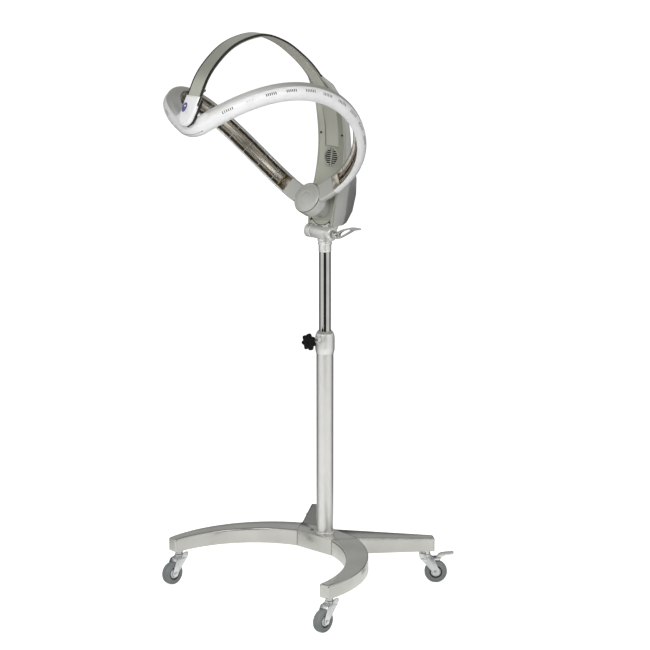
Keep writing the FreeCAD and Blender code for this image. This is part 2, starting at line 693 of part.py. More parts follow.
def fan_rotor():
    y0 = FAN_DEPTH + 1
    hub = Part.makeCylinder(9.0, 13, V(0, y0, 0), Y_AXIS)
    blades = []
    for i in range(7):
        blade = Part.makeBox(18.5, 1.6, 11, V(8, y0 + 5, -5.5))
        blade.rotate(V(0, y0 + 6, 0), X_AXIS, 35)
        blade.rotate(V(0, y0, 0), Y_AXIS, 360.0 * i / 7)
        blades.append(blade)
    bore = Part.makeCylinder(2.0 + RUN_GAP, 40, V(0, y0 - 10, 0), Y_AXIS)
    limit = Part.makeCylinder(26.5, 13, V(0, y0, 0), Y_AXIS)
    return on_grille(hub.fuse(blades).common(limit).cut(bore).removeSplitter())


# ---------------------------------------------------------------- ring

def axis_point(distance):
    centre = (REAR_PIVOT + FRONT_PIVOT) * 0.5
    return centre + axis_unit() * distance


def half_length():
    return FRONT_PIVOT.sub(REAR_PIVOT).Length / 2


def hoop_point(t, side):
    s = abs(math.sin(t))
    c = math.cos(t)
    gx = side * HOOP_SIDE * s ** HOOP_SIDE_POWER * (1 + HOOP_SIDE_SKEW * c)
    crest = 1 + HOOP_LIFT_SKEW * c + HOOP_LIFT_CREST * (c * c - 1 / 3)
    gw = HOOP_LIFT * s ** HOOP_LIFT_POWER * crest
    a = math.radians(PARK_ANGLE)
    across = gx * math.cos(a) - gw * math.sin(a)
    lift = gx * math.sin(a) + gw * math.cos(a)
    drift = sum(size * math.sin((k + 1) * t) for k, size in enumerate(HOOP_DRIFT))
    return axis_point(half_length() * c + drift) + X_AXIS * across + lift_unit() * lift


def hoop_frame(t, side):
    step = 0.002
    p = hoop_point(t, side)
    tangent = hoop_point(t + step, side).sub(hoop_point(t - step, side)).normalize()
    out = p.sub(axis_point(0))
    out = out.sub(tangent * out.dot(tangent)).normalize()
    low = tangent.cross(out) * side
    return p, out, low


def at(frame, n, b):
    p, out, low = frame
    return p + out * n + low * b


def arc_wire(frame, outer, inner):
    o = [at(frame, n, b) for n, b in outer]
    i = [at(frame, n, b) for n, b in inner]
    edges = [Part.Arc(o[0], o[1], o[2]).toShape(), Part.makeLine(o[2], i[2]), Part.Arc(i[2], i[1], i[0]).toShape(),
             Part.makeLine(i[0], o[0])]
    return Part.Wire(edges)


def stations(first, last, n):
    return [math.radians(first + (last - first) * k / (n - 1)) for k in range(n)]


def hoop_loft(make, side, first=HOOP_START, last=HOOP_END, n=HOOP_STATIONS):
    wires = [make(hoop_frame(t, side)) for t in stations(first, last, n)]
    return Part.makeLoft(wires, True, False)


def front_shell_wire(frame):
    h = BAND_W / 2
    outer = [(-BAND_IN, h), (BAND_OUT * 0.55, h - 3.5), (BAND_OUT, 0.2)]
    inner = [(-BAND_IN, h - WALL), (BAND_OUT * 0.55 - 1.8, h - 5.6), (BAND_OUT - WALL, 0.2)]
    return arc_wire(frame, outer, inner)


def rear_shell_wire(frame):
    h = BAND_W / 2
    outer = [(-BAND_IN, -h), (BAND_OUT * 0.55, -h + 3.5), (BAND_OUT, -0.2)]
    inner = [(-BAND_IN, -h + WALL), (BAND_OUT * 0.55 - 1.8, -h + 5.6), (BAND_OUT - WALL, -0.2)]
    return arc_wire(frame, outer, inner)


def reflector_wire(frame):
    h = BAND_W / 2 - WALL - 0.3
    outer = [(-BAND_IN + 1, h), (2.5, 0), (-BAND_IN + 1, -h)]
    inner = [(-BAND_IN + 1, h - 1.2), (1.3, 0), (-BAND_IN + 1, -h + 1.2)]
    return arc_wire(frame, outer, inner)


def vent_slot(side, t):
    p, out, low = hoop_frame(t, side)
    along = out.cross(low)
    centre = p + out * (BAND_OUT * 0.75) + low * (BAND_W * 0.27)
    normal = (out + low * 0.75).normalize()
    rise = along.cross(normal).normalize()
    a = VENT_WIDTH / 2
    b = VENT_LENGTH / 2
    corners = [centre + along * m + rise * n - normal * 4 for m, n in ((-a, -b), (a, -b), (a, b), (-a, b))]
    return prism(corners, normal * 9)


def vent_slots(side):
    slots = []
    for g in range(VENT_GROUPS):
        if g == VENT_PLAIN_GROUP:
            continue
        for k in range(VENTS_PER_GROUP):
            middle = VENT_FIRST + (VENT_GROUP_STEP - VENT_GROUP_CLOSING * g) * g
            turn = middle + VENT_STEP * (k - (VENTS_PER_GROUP - 1) / 2)
            slots.append(vent_slot(side, math.radians(turn)))
    return slots


def ring_front_shells():
    out = []
    for side in (1, -1):
        shell = hoop_loft(front_shell_wire, side)
        out.append(shell.cut(Part.makeCompound(vent_slots(side))))
    return out


def ring_rear_shells():
    return [hoop_loft(rear_shell_wire, side) for side in (1, -1)]


def ring_reflectors():
    return [hoop_loft(reflector_wire, side) for side in (1, -1)]


def lamp_section(side, b, t):
    frame = hoop_frame(t, side)
    n = LAMP_SIDES
    return polygon([at(frame, -LAMP_SINK + TUBE_LAMP_R * math.cos(2 * math.pi * k / n),
                       b + TUBE_LAMP_R * math.sin(2 * math.pi * k / n)) for k in range(n)])


def ring_heater_tubes():
    tubes = []
    for side in (1, -1):
        for b in (-LAMP_SPREAD, LAMP_SPREAD):
            sections = [lamp_section(side, b, t) for t in stations(LAMP_START, LAMP_END, LAMP_STATIONS)]
            tubes.append(Part.makeLoft(sections, True, True))
    return tubes


def ring_guard_wires():
    wires = []
    h = BAND_W / 2 - WALL - 0.3
    for side in (1, -1):
        for t in stations(HOOP_START + 14, HOOP_END - 10, 12):
            frame = hoop_frame(t, side)
            wires.append(rod(at(frame, -BAND_IN - 0.4, -h), at(frame, -BAND_IN - 0.4, h), 1.0))
    return wires


def end_plate(side, t):
    frame = hoop_frame(math.radians(t), side)
    p, out, low = frame
    along = out.cross(low)
    half = [(1 - BAND_IN, 19.8), (-8.5, 17.6), (-4.0, 13.5), (-1.2, 9.0)]
    mirrored = [(n, -b) for n, b in reversed(half)]
    plate = prism([at(frame, n, b) for n, b in half + mirrored], along * 2.0)
    for b in (-LAMP_SPREAD, LAMP_SPREAD):
        lamp = at(frame, -LAMP_SINK, b)
        plate = plate.cut(rod(lamp - along * 10, lamp + along * 10, TUBE_LAMP_R + 0.5))
    return plate


def ring_end_plates():
    return [end_plate(side, t) for side in (1, -1) for t in (LAMP_START, LAMP_END)]


def nose_wire(frame):
    h = BAND_W / 2
    outer = [(-BAND_IN, h), (BAND_OUT, 0), (-BAND_IN, -h)]
    p = [at(frame, n, b) for n, b in outer]
    q = [at(frame, BAND_OUT * 0.62, h - 5), at(frame, BAND_OUT * 0.62, -h + 5)]
    edges = [Part.Arc(p[0], q[0], p[1]).toShape(), Part.Arc(p[1], q[1], p[2]).toShape(), Part.makeLine(p[2], p[0])]
    return Part.Wire(edges)


def ring_nose():
    angles = (HOOP_START, HOOP_START * 0.62, HOOP_START * 0.3)
    frames = [hoop_frame(math.radians(t), 1) for t in angles]
    frames += [hoop_frame(math.radians(t), -1) for t in reversed(angles)]
    body = Part.makeLoft([nose_wire(f) for f in frames], True, False)
    u = axis_unit()
    bore = rod(FRONT_PIVOT - u * 8, FRONT_PIVOT + u * 60, 5.0 + RUN_GAP)
    return body.cut(bore)


def ring_hub():
    u = axis_unit()
    c = REAR_PIVOT
    drum = rod(c - u * HUB_BACK, c + u * (HUB_FRONT - 3), HUB_R)
    arms = []
    for side in (1, -1):
        frames = [hoop_frame(math.radians(t), side) for t in (HOOP_END, 170.5, 173.5, 176)]
        arms.append(Part.makeLoft([nose_wire(f) for f in frames], True, False))
    body = drum.fuse(arms)
    seat = rod(c + u * (HUB_FRONT - 3), c + u * 80, HUB_R - 1.5)
    shaft = rod(c - u * SHAFT_LENGTH, c - u * 5, SHAFT_R)
    return body.cut(seat).fuse(shaft).removeSplitter()


def ring_hub_cover():
    r = HUB_R - 2.0
    profile = [(0, 0), (r, 0), (r, 2.0), (r - 2, 4.0), (r * 0.5, 6.0), (0, 6.8)]
    return spun(profile, REAR_PIVOT + axis_unit() * (HUB_FRONT - 3), axis_unit())


def hub_carrier():
    u = axis_unit()
    start = HUB_BACK + 1.0
    outer = [(SHAFT_R + RUN_GAP, 0), (33, 0), (35, 2), (35, 9), (29.7, 12), (29.7, 44), (SHAFT_R + RUN_GAP, 44)]
    return spun(outer, REAR_PIVOT - u * start, u * -1)


def ring_motor():
    u = axis_unit()
    start = HUB_BACK + 1.0 + 44
    profile = [(SHAFT_R + 1, 0), (26, 0), (27, 1.5), (27, 26), (22, 30), (0, 30), (0, 20), (SHAFT_R + 1, 20)]
    return spun(profile, REAR_PIVOT - u * start, u * -1)


# ---------------------------------------------------------------- arch

def arch_curve(offset):
    base = Part.BSplineCurve()
    base.interpolate([V(0, y, z) for y, z in ARCH_LINE])
    points = []
    n = 40
    first, last = base.FirstParameter, base.LastParameter
    for i in range(n + 1):
        u = first + (last - first) * i / n
        tangent = base.tangent(u)[0]
        inward = tangent.cross(X_AXIS) * -1
        points.append(base.value(u) + inward * -offset)
    curve = Part.BSplineCurve()
    curve.interpolate(points)
    return curve


def arch_band(near, far, x0, x1, start=0.0, stop=1.0, extra=0.0):
    curves = []
    for offset in (near, far):
        curve = arch_curve(offset)
        a, b = curve.FirstParameter, curve.LastParameter
        curve.segment(a + (b - a) * start, a + (b - a) * stop)
        curves.append(curve.toShape())
    (a0, a1), (b0, b1) = [(c.valueAt(c.FirstParameter), c.valueAt(c.LastParameter)) for c in curves]
    drop = V(0, 0, -extra)
    edges = [curves[0], Part.makeLine(b0, a0), curves[1]]
    if extra:
        edges += [Part.makeLine(a1, a1 + drop), Part.makeLine(a1 + drop, b1 + drop), Part.makeLine(b1 + drop, b1)]
    else:
        edges.append(Part.makeLine(a1, b1))
    face = Part.Face(Part.Wire(Part.__sortEdges__(edges)))
    face.translate(V(x0, 0, 0))
    return face.extrude(V(x1 - x0, 0, 0))


def arch_outer_shell():
    return arch_band(0, ARCH_T / 2 - 0.1, -ARCH_W / 2, ARCH_W / 2, ARCH_START)


def arch_inner_shell():
    return arch_band(ARCH_T / 2 + 0.1, ARCH_T, -ARCH_W / 2, ARCH_W / 2, ARCH_START, INNER_STOP)


def arch_edge_trims():
    x = ARCH_W / 2 + 0.1
    strip = arch_band(0.8, ARCH_T - 0.8, x, x + TRIM_T, ARCH_START, INNER_STOP)
    return both_sides(strip)


def axis_frame_point(x, lift, along):
    return FRONT_PIVOT + X_AXIS * x + lift_unit() * lift + axis_unit() * along


def arch_end_cap():
    half = CAP_W / 2
    p = [axis_frame_point(x, b, CAP_STAND) for x, b in
         ((-CAP_TIP_X, CAP_TIP_RISE), (0, -CAP_TIP_DROP), (CAP_TIP_X, CAP_TIP_RISE), (half, CAP_SHOULDER),
          (half, CAP_LENGTH), (-half, CAP_LENGTH), (-half, CAP_SHOULDER))]
    edges = [Part.Arc(p[0], p[1], p[2]).toShape()]
    loop = p[2:] + [p[0]]
    edges += [Part.makeLine(a, b) for a, b in zip(loop, loop[1:])]
    body = Part.Face(Part.Wire(edges)).extrude(axis_unit() * CAP_T)
    outer = [e for e in body.Edges if all(abs((v.Point - FRONT_PIVOT).dot(axis_unit()) - CAP_STAND - CAP_T) < 0.1
                                          for v in e.Vertexes)]
    body = body.makeFillet(5.0, outer)
    half = ARCH_W / 2 + TRIM_T + 0.1 + SEAT_GAP
    slot = arch_band(-SEAT_GAP, ARCH_T + SEAT_GAP, -half, half, ARCH_START - 0.002, 0.3)
    pocket = rod(axis_frame_point(0, 0, CAP_STAND - 1), axis_frame_point(0, 0, CAP_STAND + 14), 5.0)
    return body.cut(slot).cut(pocket).cut(window_lens(SEAT_GAP, 0.0))


def window_lens(gap, proud):
    base = axis_frame_point(WINDOW_X, WINDOW_LIFT, CAP_STAND + CAP_T - 2.0)
    disc = Part.makeCylinder(WINDOW_R + gap, 2.0 + proud + 6 * gap)
    stretch = FreeCAD.Matrix()
    stretch.scale(1, 1.5, 1)
    disc = disc.transformGeometry(stretch)
    disc.Placement = FreeCAD.Placement(base, FreeCAD.Rotation(Z_AXIS, axis_unit()))
    return disc


def sensor_window():
    return window_lens(0.0, 1.2)


def front_pivot_pin():
    return rod(axis_frame_point(0, 0, -6), axis_frame_point(0, 0, CAP_STAND + 14), 5.0)


def arch_sensor():
    curve = arch_curve(ARCH_T)
    a, b = curve.FirstParameter, curve.LastParameter
    u = a + (b - a) * 0.125
    inward = curve.tangent(u)[0].cross(X_AXIS)
    if inward.y < 0:
        inward = inward * -1
    profile = [(0, 0.2), (5.5, 0.2), (5.5, 3.0), (4.5, 5.5), (2.5, 7.0), (0, 7.4)]
    return spun(profile, curve.value(u) + X_AXIS * 14, inward)


def main():
    os.makedirs("parts", exist_ok=True)
    casters = {"front_right": (FRONT_CASTER_X, FRONT_CASTER_Y, HEADING_FRONT_RIGHT),
               "front_left": (-FRONT_CASTER_X, FRONT_CASTER_Y, HEADING_FRONT_LEFT),
               "rear_right": (REAR_CASTER_X, REAR_CASTER_Y, HEADING_REAR_RIGHT),
               "rear_left": (-REAR_CASTER_X, REAR_CASTER_Y, HEADING_REAR_LEFT)}
    save("base_hub", base_hub())
    save("base_hub_bolt", hub_bolt())
    save("front_legs", front_legs())
    save("rear_legs", rear_legs())
    save("leg_end_caps", leg_end_caps())
    save("caster_stems", caster_stems())
    for name, place in casters.items():
        fork = braked_fork if name.startswith("rear") else caster_fork
        save("caster_fork_" + name, fork(*place))
        save("caster_tyre_" + name, caster_tyre(*place))
        save("caster_core_" + name, caster_core(*place))
        if name.startswith("rear"):
            save("brake_pedal_" + name, brake_pedal(*place))
    save("column_foot_ring", column_foot_ring())
    save("lower_column", lower_column())
    save("column_collar", column_collar())
    save("guide_bush", guide_bush())
    save("height_knob", height_knob())
    save("height_knob_screw", knob_screw())
    save("mast_tube", mast_tube())
    save("mast_guide", mast_guide())
    save("swivel_sleeve", mast_sleeve())
    save("tilt_knuckle", tilt_knuckle())
    save("tilt_ears", tilt_ears())
    save("tilt_pin", tilt_pin())
    save("tilt_lever", tilt_lever())
    save("spine_front_cover", spine_front_cover())
    save("spine_rear_shell", spine_rear_shell())
    save("spine_screws", spine_screws())
    save("fan_grille", fan_grille())
    save("fan_frame", fan_frame())
    save("fan_rotor", fan_rotor())
    save("ring_front_shells", ring_front_shells())
    save("ring_rear_shells", ring_rear_shells())
    save("ring_reflectors", ring_reflectors())
    save("ring_heater_tubes", ring_heater_tubes())
    save("ring_guard_wires", ring_guard_wires())
    save("ring_end_plates", ring_end_plates())
    save("ring_nose", ring_nose())
    save("ring_hub", ring_hub())
    save("ring_hub_cover", ring_hub_cover())
    save("hub_carrier", hub_carrier())
    save("ring_motor", ring_motor())
    save("arch_outer_shell", arch_outer_shell())
    save("arch_inner_shell", arch_inner_shell())
    save("arch_edge_trims", arch_edge_trims())
    save("arch_end_cap", arch_end_cap())
    save("sensor_window", sensor_window())
    save("front_pivot_pin", front_pivot_pin())
    save("arch_sensor", arch_sensor())


main()
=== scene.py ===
import bmesh
import bpy
from math import atan2, cos, pi, radians, sin, sqrt
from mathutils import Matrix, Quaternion, Vector


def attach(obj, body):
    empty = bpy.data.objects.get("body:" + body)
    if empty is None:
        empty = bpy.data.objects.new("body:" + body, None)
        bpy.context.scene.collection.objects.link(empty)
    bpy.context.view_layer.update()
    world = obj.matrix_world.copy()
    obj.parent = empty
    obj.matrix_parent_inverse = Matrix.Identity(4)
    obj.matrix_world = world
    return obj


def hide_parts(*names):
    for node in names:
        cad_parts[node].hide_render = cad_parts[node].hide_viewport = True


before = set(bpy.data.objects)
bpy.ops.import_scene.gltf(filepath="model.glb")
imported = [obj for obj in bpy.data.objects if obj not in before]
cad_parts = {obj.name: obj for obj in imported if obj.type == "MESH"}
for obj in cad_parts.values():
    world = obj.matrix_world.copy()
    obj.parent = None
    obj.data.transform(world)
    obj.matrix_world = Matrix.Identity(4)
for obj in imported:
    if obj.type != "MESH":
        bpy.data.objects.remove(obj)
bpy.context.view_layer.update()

MM = 0.001
JOIN_WITHIN, SHARP_FROM = 0.002, 40
X, Y, Z = Vector((1, 0, 0)), Vector((0, 1, 0)), Vector((0, 0, 1))

# ------------------------------------------------------------ sizes in millimetres

HUB_TOP, HUB_HEIGHT, HUB_EDGE_R, COLUMN_SEAT, DRAIN_WALL = 148.0, 47.0, 1.6, 30.0, 8.0
HUB_PLAN = ((-68, -45), (68, -45), (112, 20), (0, 36), (-112, 20))
FRONT_INNER = ((68, -45), (226, -157), (283, -318))
FRONT_OUTER = ((112, 20), (262, -106), (317, -314))
REAR_INNER = ((0, 36), (215, 217))
REAR_OUTER = ((112, 20), (243, 196))
LEG_TIP_TOP, LEG_TIP_HEIGHT, LEG_EDGE_R, LEG_UNDER_R = 136.0, 40.0, 6.0, 1.5
LEG_PLUG_STEPS = ((0, 0.6), (0.5, 0.6), (0.7, 0), (2.5, 0.5), (3.7, 1.3), (4.6, 2.6), (5, 4))
WELD_R, WELD_TURN = 0.75, 4.0
BOLT_PLACE = Vector((-38, -14, HUB_TOP))
WHEEL_R, WHEEL_W, TYRE_DEPTH, CASTER_TRAIL = 32.5, 22.0, 9.0, 27.0
SPOKE_DIMPLES, SPOKE_DIMPLE_RING = 6, 11.4
FORK_WALL, FORK_GAP, FORK_CORNER_R, AXLE_R, CROWN_Z, CROWN_T = 2.5, 2.0, 6.0, 4.0, 72.0, 3.0
PEDAL_WIDTH, PEDAL_TRAIL, PEDAL_Z, PEDAL_PIN_R, PEDAL_BARREL_R = 20.0, 33.0, 72.5, 2.5, 5.0
PEDAL_LINE = ((0, -5), (6, -4), (11, 5), (24, 10.4), (42.6, 12.8), (45, 13.2), (45, 17.4), (42, 17.6),
              (22, 16.4), (6, 13.5), (0, 9))
PEDAL_RIBS, PEDAL_RIB_FIRST, PEDAL_RIB_STEP = 5, 16.0, 5.4
CASTERS = {"front_right": (298, -296, 272), "front_left": (-298, -296, 268),
           "rear_right": (219, 194, 43), "rear_left": (-219, 194, 150)}
TUBE_R, FOOT_RING_R, FOOT_RING_H = 24.3, 29.5, 5.0
COLLAR_BOTTOM, COLLAR_TOP, COLLAR_R, COLLAR_NECK_R = 678.0, 738.0, 27.8, 25.6
MAST_R, SLIDE_FIT, BUSH_DEPTH = 16.7, 0.05, 40.0
KNOB_Z, KNOB_R, KNOB_LOBES, KNOB_LOBE_SHARE, KNOB_BACK_Y, KNOB_SCREW_R = 722.0, 24.5, 7, 0.12, -55.0, 4.0
KNOB_ROWS = ((-59, 8), (-59, 2.6), (-59.5, 1.2), (-60.5, 0.3), (-61.6, 0), (-69.8, 0), (-71.2, 0.4),
             (-72.3, 1.4), (-73, 3), (-73, 8))
SLEEVE_BOTTOM, SLEEVE_TOP = 973.0, 1012.0
TILT_Y, TILT_Z, BOSS_R, BOSS_HALF, EAR_THICK, EAR_GAP, PIN_R = -18.0, 1031.0, 18.0, 28.0, 20.0, 0.4, 6.0
LEVER_LINE = ((0, 6), (26, 20), (60, 30), (92, 31), (92, 27), (70, 22), (42, 6), (12, -10), (0, -9))
LEVER_WINDOW = ((15, 5), (28, 14.5), (52, 23.5), (60, 22.5), (42, 11.5), (24, 1), (15, -3))
LEVER_FOOT, LEVER_WIDTH = 10.0, 9.0
SPINE_FRONT = ((1051, -19.6), (1080, -17), (1126, -8), (1171, 8), (1211, 20), (1256, 27), (1306, 27),
               (1361, 20), (1406, 6), (1446, -20), (1488, -54))
SPINE_HALF = (46, 47, 48, 49, 51, 51.5, 51, 50, 45, 36, 20)
SPINE_DEPTH = (76, 98, 104, 90, 68, 52, 46, 43, 40, 38, 14)
SPINE_SHOULDER = (0.55, 0.5, 0.45, 0.45, 0.45, 0.45, 0.45, 0.45, 0.45, 0.45, 0.45)
SPINE_BACK_HALF = (30, 30, 30, 30, 29, 28, 26, 24, 20, 15, 8)
PLATE_T, RIM_W, RIM_H, SHELL_WALL, SHELL_BULGE = 3.5, 5.0, 2.0, 3.0, 2.0
LOUVRES, LOUVRE_FIRST_Z, LOUVRE_STEP, LOUVRE_SIZE = 6, 1191.5, 9.0, (34, 60, 3)
GRILLE_Z, GRILLE_Y, GRILLE_LEAN, GRILLE_R, GRILLE_ROWS, GRILLE_PITCH = 1239.0, 24.6, 7.3, 28.0, 9, 5.6
GRILLE_SLOT_HALF, GRILLE_RIM, GRILLE_POST_HALF = 1.8, 2.8, 1.5
SCREW_PLACES = ((40, 26.8, 1304), (-40, 26.8, 1304), (35.5, -19, 1063), (-35.5, -19, 1063))
REAR_PIVOT, FRONT_PIVOT = Vector((0, -60, 1130)), Vector((0, -512, 1388))
HOOP_SIDE, HOOP_SIDE_POWER, HOOP_SIDE_SKEW = 242.0, 0.74, -0.10
HOOP_LIFT, HOOP_LIFT_POWER, HOOP_LIFT_SKEW, HOOP_LIFT_CREST = 176.0, 0.94, -0.04, -0.10
HOOP_DRIFT, PARK_ANGLE = (12.0, 5.0, -6.0), 8.4
HOOP_START, HOOP_END, ARM_TURNS = 9.0, 168.0, (168.0, 170.5, 173.5, 176.0)
BAND_W, BAND_OUT, BAND_IN, WALL = 50.0, 14.0, 15.0, 2.5
HUB_R, HUB_FRONT, HUB_BACK, SHAFT_R, SHAFT_LENGTH = 45.0, 17.0, 21.0, 9.0, 72.0
DOME_SINK, BOW_FIRST, BOW_SWEEP = 3.0, -42.0, 96.0
NOSE_TURNS, NOSE_SEAM = (1.0, 0.62, 0.3), 5
VENT_GROUPS, VENT_PLAIN_GROUP, VENTS_PER_GROUP = 10, 1, 6
VENT_FIRST, VENT_GROUP_STEP, VENT_GROUP_CLOSING, VENT_STEP = 19.7, 13.45, 0.165, 1.15
VENT_LENGTH, VENT_WIDTH, VENT_CORNER_R = 7.8, 2.6, 0.7
VENT_LEVEL, VENT_SINKING, VENT_LEVEL_GROUPS, STATUS_DOT_STEP = 0.27, 0.03, 4, 1.6
LAMP_R, LAMP_SINK, LAMP_SPREAD, LAMP_START, LAMP_END = 4.6, 8.0, 9.5, 17.0, 163.0
LAMP_STRIPES, STRIPE_R, WIRE_R, WIRES = (118, 150, 182, 214, 246), 0.6, 0.8, 11
ARCH_LINE = ((-541, 1392), (-524, 1440), (-505, 1474), (-480, 1518), (-434, 1564), (-377, 1598),
             (-313, 1614), (-253, 1615), (-211, 1603), (-163, 1581), (-122, 1554), (-81, 1522), (-53, 1495),
             (-22, 1458), (10, 1411), (28, 1363), (37, 1308), (38, 1270))
ARCH_W, ARCH_T, ARCH_TRIM_W, ARCH_SPLIT = 48.0, 9.0, 3.4, 0.66
ARCH_START, INNER_STOP, ARCH_END, BUTTON_RUN, BUTTON_X = 0.075, 0.86, 1.0012, 0.125, 19.0
CAP_W, CAP_T, CAP_LENGTH, CAP_SHOULDER, CAP_STAND, CAP_NECK_IN = 51.0, 22.0, 78.0, 34.0, 17.5, 3.4
CAP_STEPS = ((12, 0.6), (12.6, 0), (17.6, 0), (19.2, 0.4), (20.6, 1.4), (21.6, 3), (CAP_T, 5.2))
CAP_TIP_X, CAP_TIP_RISE, CAP_TIP_DROP, CAP_MIDDLE = 24.0, 13.0, 9.0, 32.0
WINDOW_X, WINDOW_LIFT, WINDOW_R, WINDOW_STRETCH = -14.5, 42.0, 8.2, 1.65
SEAT_GAP = 0.3

AXIS = (FRONT_PIVOT - REAR_PIVOT).normalized()
LIFT = AXIS.cross(X)


def P(x, y, z):
    return Vector((x, y, z))


def between(a, b, f):
    return a + (b - a) * f


def steps(first, last, n):
    """n + 1 even steps from first to last."""
    return [first + (last - first) * k / n for k in range(n + 1)]


def round_turns(n):
    return [2 * pi * k / n for k in range(n)]


def traced(origin, u, v, pairs):
    """The points (a, b) of a flat outline, a along u and b along v."""
    return [origin + u * a + v * b for a, b in pairs]


def side_view(x, pairs):
    """The points (y, z) of an outline seen from the side."""
    return [P(x, y, z) for y, z in pairs]


def raised(profile, level):
    """A profile of (radius, height) lifted to a level."""
    return [(r, level + h) for r, h in profile]


def mirrored(half):
    """A profile and its image on the far side."""
    return half + [(r, -h) for r, h in reversed(half)]


# ------------------------------------------------------------ lines

class Spline:
    """Natural cubic through points, run along its chords from 0 to 1."""

    def __init__(self, points):
        self.points = [Vector(p) for p in points]
        run = [0.0]
        for a, b in zip(self.points, self.points[1:]):
            run.append(run[-1] + (b - a).length)
        self.run = [r / run[-1] for r in run]
        n = len(run)
        size = len(self.points[0])
        upper = [0.0] * n
        bend = [Vector([0.0] * size) for _ in run]
        for i in range(1, n - 1):
            h0 = self.run[i] - self.run[i - 1]
            h1 = self.run[i + 1] - self.run[i]
            slope = (self.points[i + 1] - self.points[i]) / h1 - (self.points[i] - self.points[i - 1]) / h0
            pivot = 2 * (h0 + h1) - h0 * upper[i - 1]
            upper[i] = h1 / pivot
            bend[i] = (slope * 6 - bend[i - 1] * h0) / pivot
        for i in range(n - 2, 0, -1):
            bend[i] = bend[i] - bend[i + 1] * upper[i]
        self.bend = bend

    def span(self, f):
        i = 0
        while i < len(self.run) - 2 and f > self.run[i + 1]:
            i += 1
        return i, self.run[i + 1] - self.run[i]

    def at(self, f):
        i, h = self.span(f)
        a = (self.run[i + 1] - f) / h
        b = 1 - a
        curve = ((a ** 3 - a) * self.bend[i] + (b ** 3 - b) * self.bend[i + 1]) * (h * h / 6)
        return a * self.points[i] + b * self.points[i + 1] + curve

    def way(self, f):
        return (self.at(f + 1e-4) - self.at(f - 1e-4)).normalized()

    def sampled(self, n, first=0.0, last=1.0):
        return [self.at(f) for f in steps(first, last, n)]


def arc(start, middle, end, n=12):
    """n + 1 points of a flat arc through three points (u, v)."""
    a, m, b = Vector(start), Vector(middle), Vector(end)
    d = 2 * (a.x * (m.y - b.y) + m.x * (b.y - a.y) + b.x * (a.y - m.y))
    aa, mm, bb = a.length_squared, m.length_squared, b.length_squared
    centre = Vector(((aa * (m.y - b.y) + mm * (b.y - a.y) + bb * (a.y - m.y)) / d,
                     (aa * (b.x - m.x) + mm * (a.x - b.x) + bb * (m.x - a.x)) / d))
    first = atan2(a.y - centre.y, a.x - centre.x)
    half, whole = [(atan2(p.y - centre.y, p.x - centre.x) - first) % (2 * pi) for p in (m, b)]
    sweep = whole if half < whole else whole - 2 * pi
    r = (a - centre).length
    turns = [first + sweep * k / n for k in range(n + 1)]
    return [(centre.x + r * cos(t), centre.y + r * sin(t)) for t in turns]


def softened(outline, radius, n=4):
    """A closed outline with its corners rounded, each over less than half of its sides."""
    out = []
    for i, p in enumerate(outline):
        before = outline[i - 1] - p
        after = outline[(i + 1) % len(outline)] - p
        reach = min(radius, before.length * 0.45, after.length * 0.45)
        a = p + before.normalized() * reach
        b = p + after.normalized() * reach
        for k in range(n + 1):
            f = k / n
            out.append(a * (1 - f) ** 2 + p * (2 * f * (1 - f)) + b * f ** 2)
    return out


# ------------------------------------------------------------ solids and pieces

class Solid:
    """Points and faces of a piece, gathered in millimetres."""

    def __init__(self):
        self.points = []
        self.faces = []

    def join(self, other):
        return self.add(other.points, other.faces)

    def add(self, points, faces):
        base = len(self.points)
        self.points += [Vector(p) for p in points]
        self.faces += [[base + i for i in face] for face in faces]
        return self

    def loft(self, rows, ring=True, caps=True, closed=False):
        """Faces between rows of points, each row a ring, and a cap at either end."""
        n = len(rows[0])
        faces = []
        for i in range(len(rows) if closed else len(rows) - 1):
            a = i * n
            b = (i + 1) % len(rows) * n
            for j in range(n if ring else n - 1):
                k = (j + 1) % n
                faces.append([a + j, a + k, b + k, b + j])
        if caps and not closed:
            last = (len(rows) - 1) * n
            faces += [list(range(n))[::-1], [last + j for j in range(n)]]
        return self.add([p for row in rows for p in row], faces)

    def spin(self, profile, centre, axis, n=64):
        """A profile of (radius, height) turned about an axis."""
        turn = axis.to_track_quat("Z", "Y")
        tube = profile[0][0] > 0 or profile[-1][0] > 0
        rows = [[centre + turn @ P(r * cos(t), r * sin(t), h) for r, h in profile] for t in round_turns(n)]
        return self.loft(rows, ring=tube, closed=True)

    def slab(self, outline, depth):
        return self.loft([outline, [p + depth for p in outline]])

    def block(self, centre, size):
        x, y, z = [s / 2 for s in size]
        outline = [centre + P(a, b, -z) for a, b in ((-x, -y), (x, -y), (x, y), (-x, y))]
        return self.slab(outline, Z * (2 * z))

    def rod(self, start, end, radius, n=32):
        length = (end - start).length
        return self.spin([(0, 0), (radius, 0), (radius, length), (0, length)], start, end - start, n)

    def bar(self, path, radius, sides=10):
        """A round bar along a path."""
        side = (path[1] - path[0]).orthogonal().normalized()
        ring = [(radius * cos(t), radius * sin(t)) for t in round_turns(sides)]
        rows = []
        for i, p in enumerate(path):
            way = (path[min(i + 1, len(path) - 1)] - path[max(i - 1, 0)]).normalized()
            side = (side - way * side.dot(way)).normalized()
            rows.append(traced(p, side, way.cross(side), ring))
        return self.loft(rows)

    def both_sides(self):
        flipped = [P(-p.x, p.y, p.z) for p in self.points]
        return self.add(flipped, [list(reversed(face)) for face in self.faces])

    def moved(self, change):
        self.points = [change(p) for p in self.points]
        return self

    def mesh(self, name):
        made = bpy.data.meshes.new(name)
        made.from_pydata([p * MM for p in self.points], [], self.faces)
        body = bmesh.new()
        body.from_mesh(made)
        bmesh.ops.remove_doubles(body, verts=body.verts, dist=JOIN_WITHIN * MM)
        bmesh.ops.recalc_face_normals(body, faces=body.faces)
        body.to_mesh(made)
        body.free()
        return made


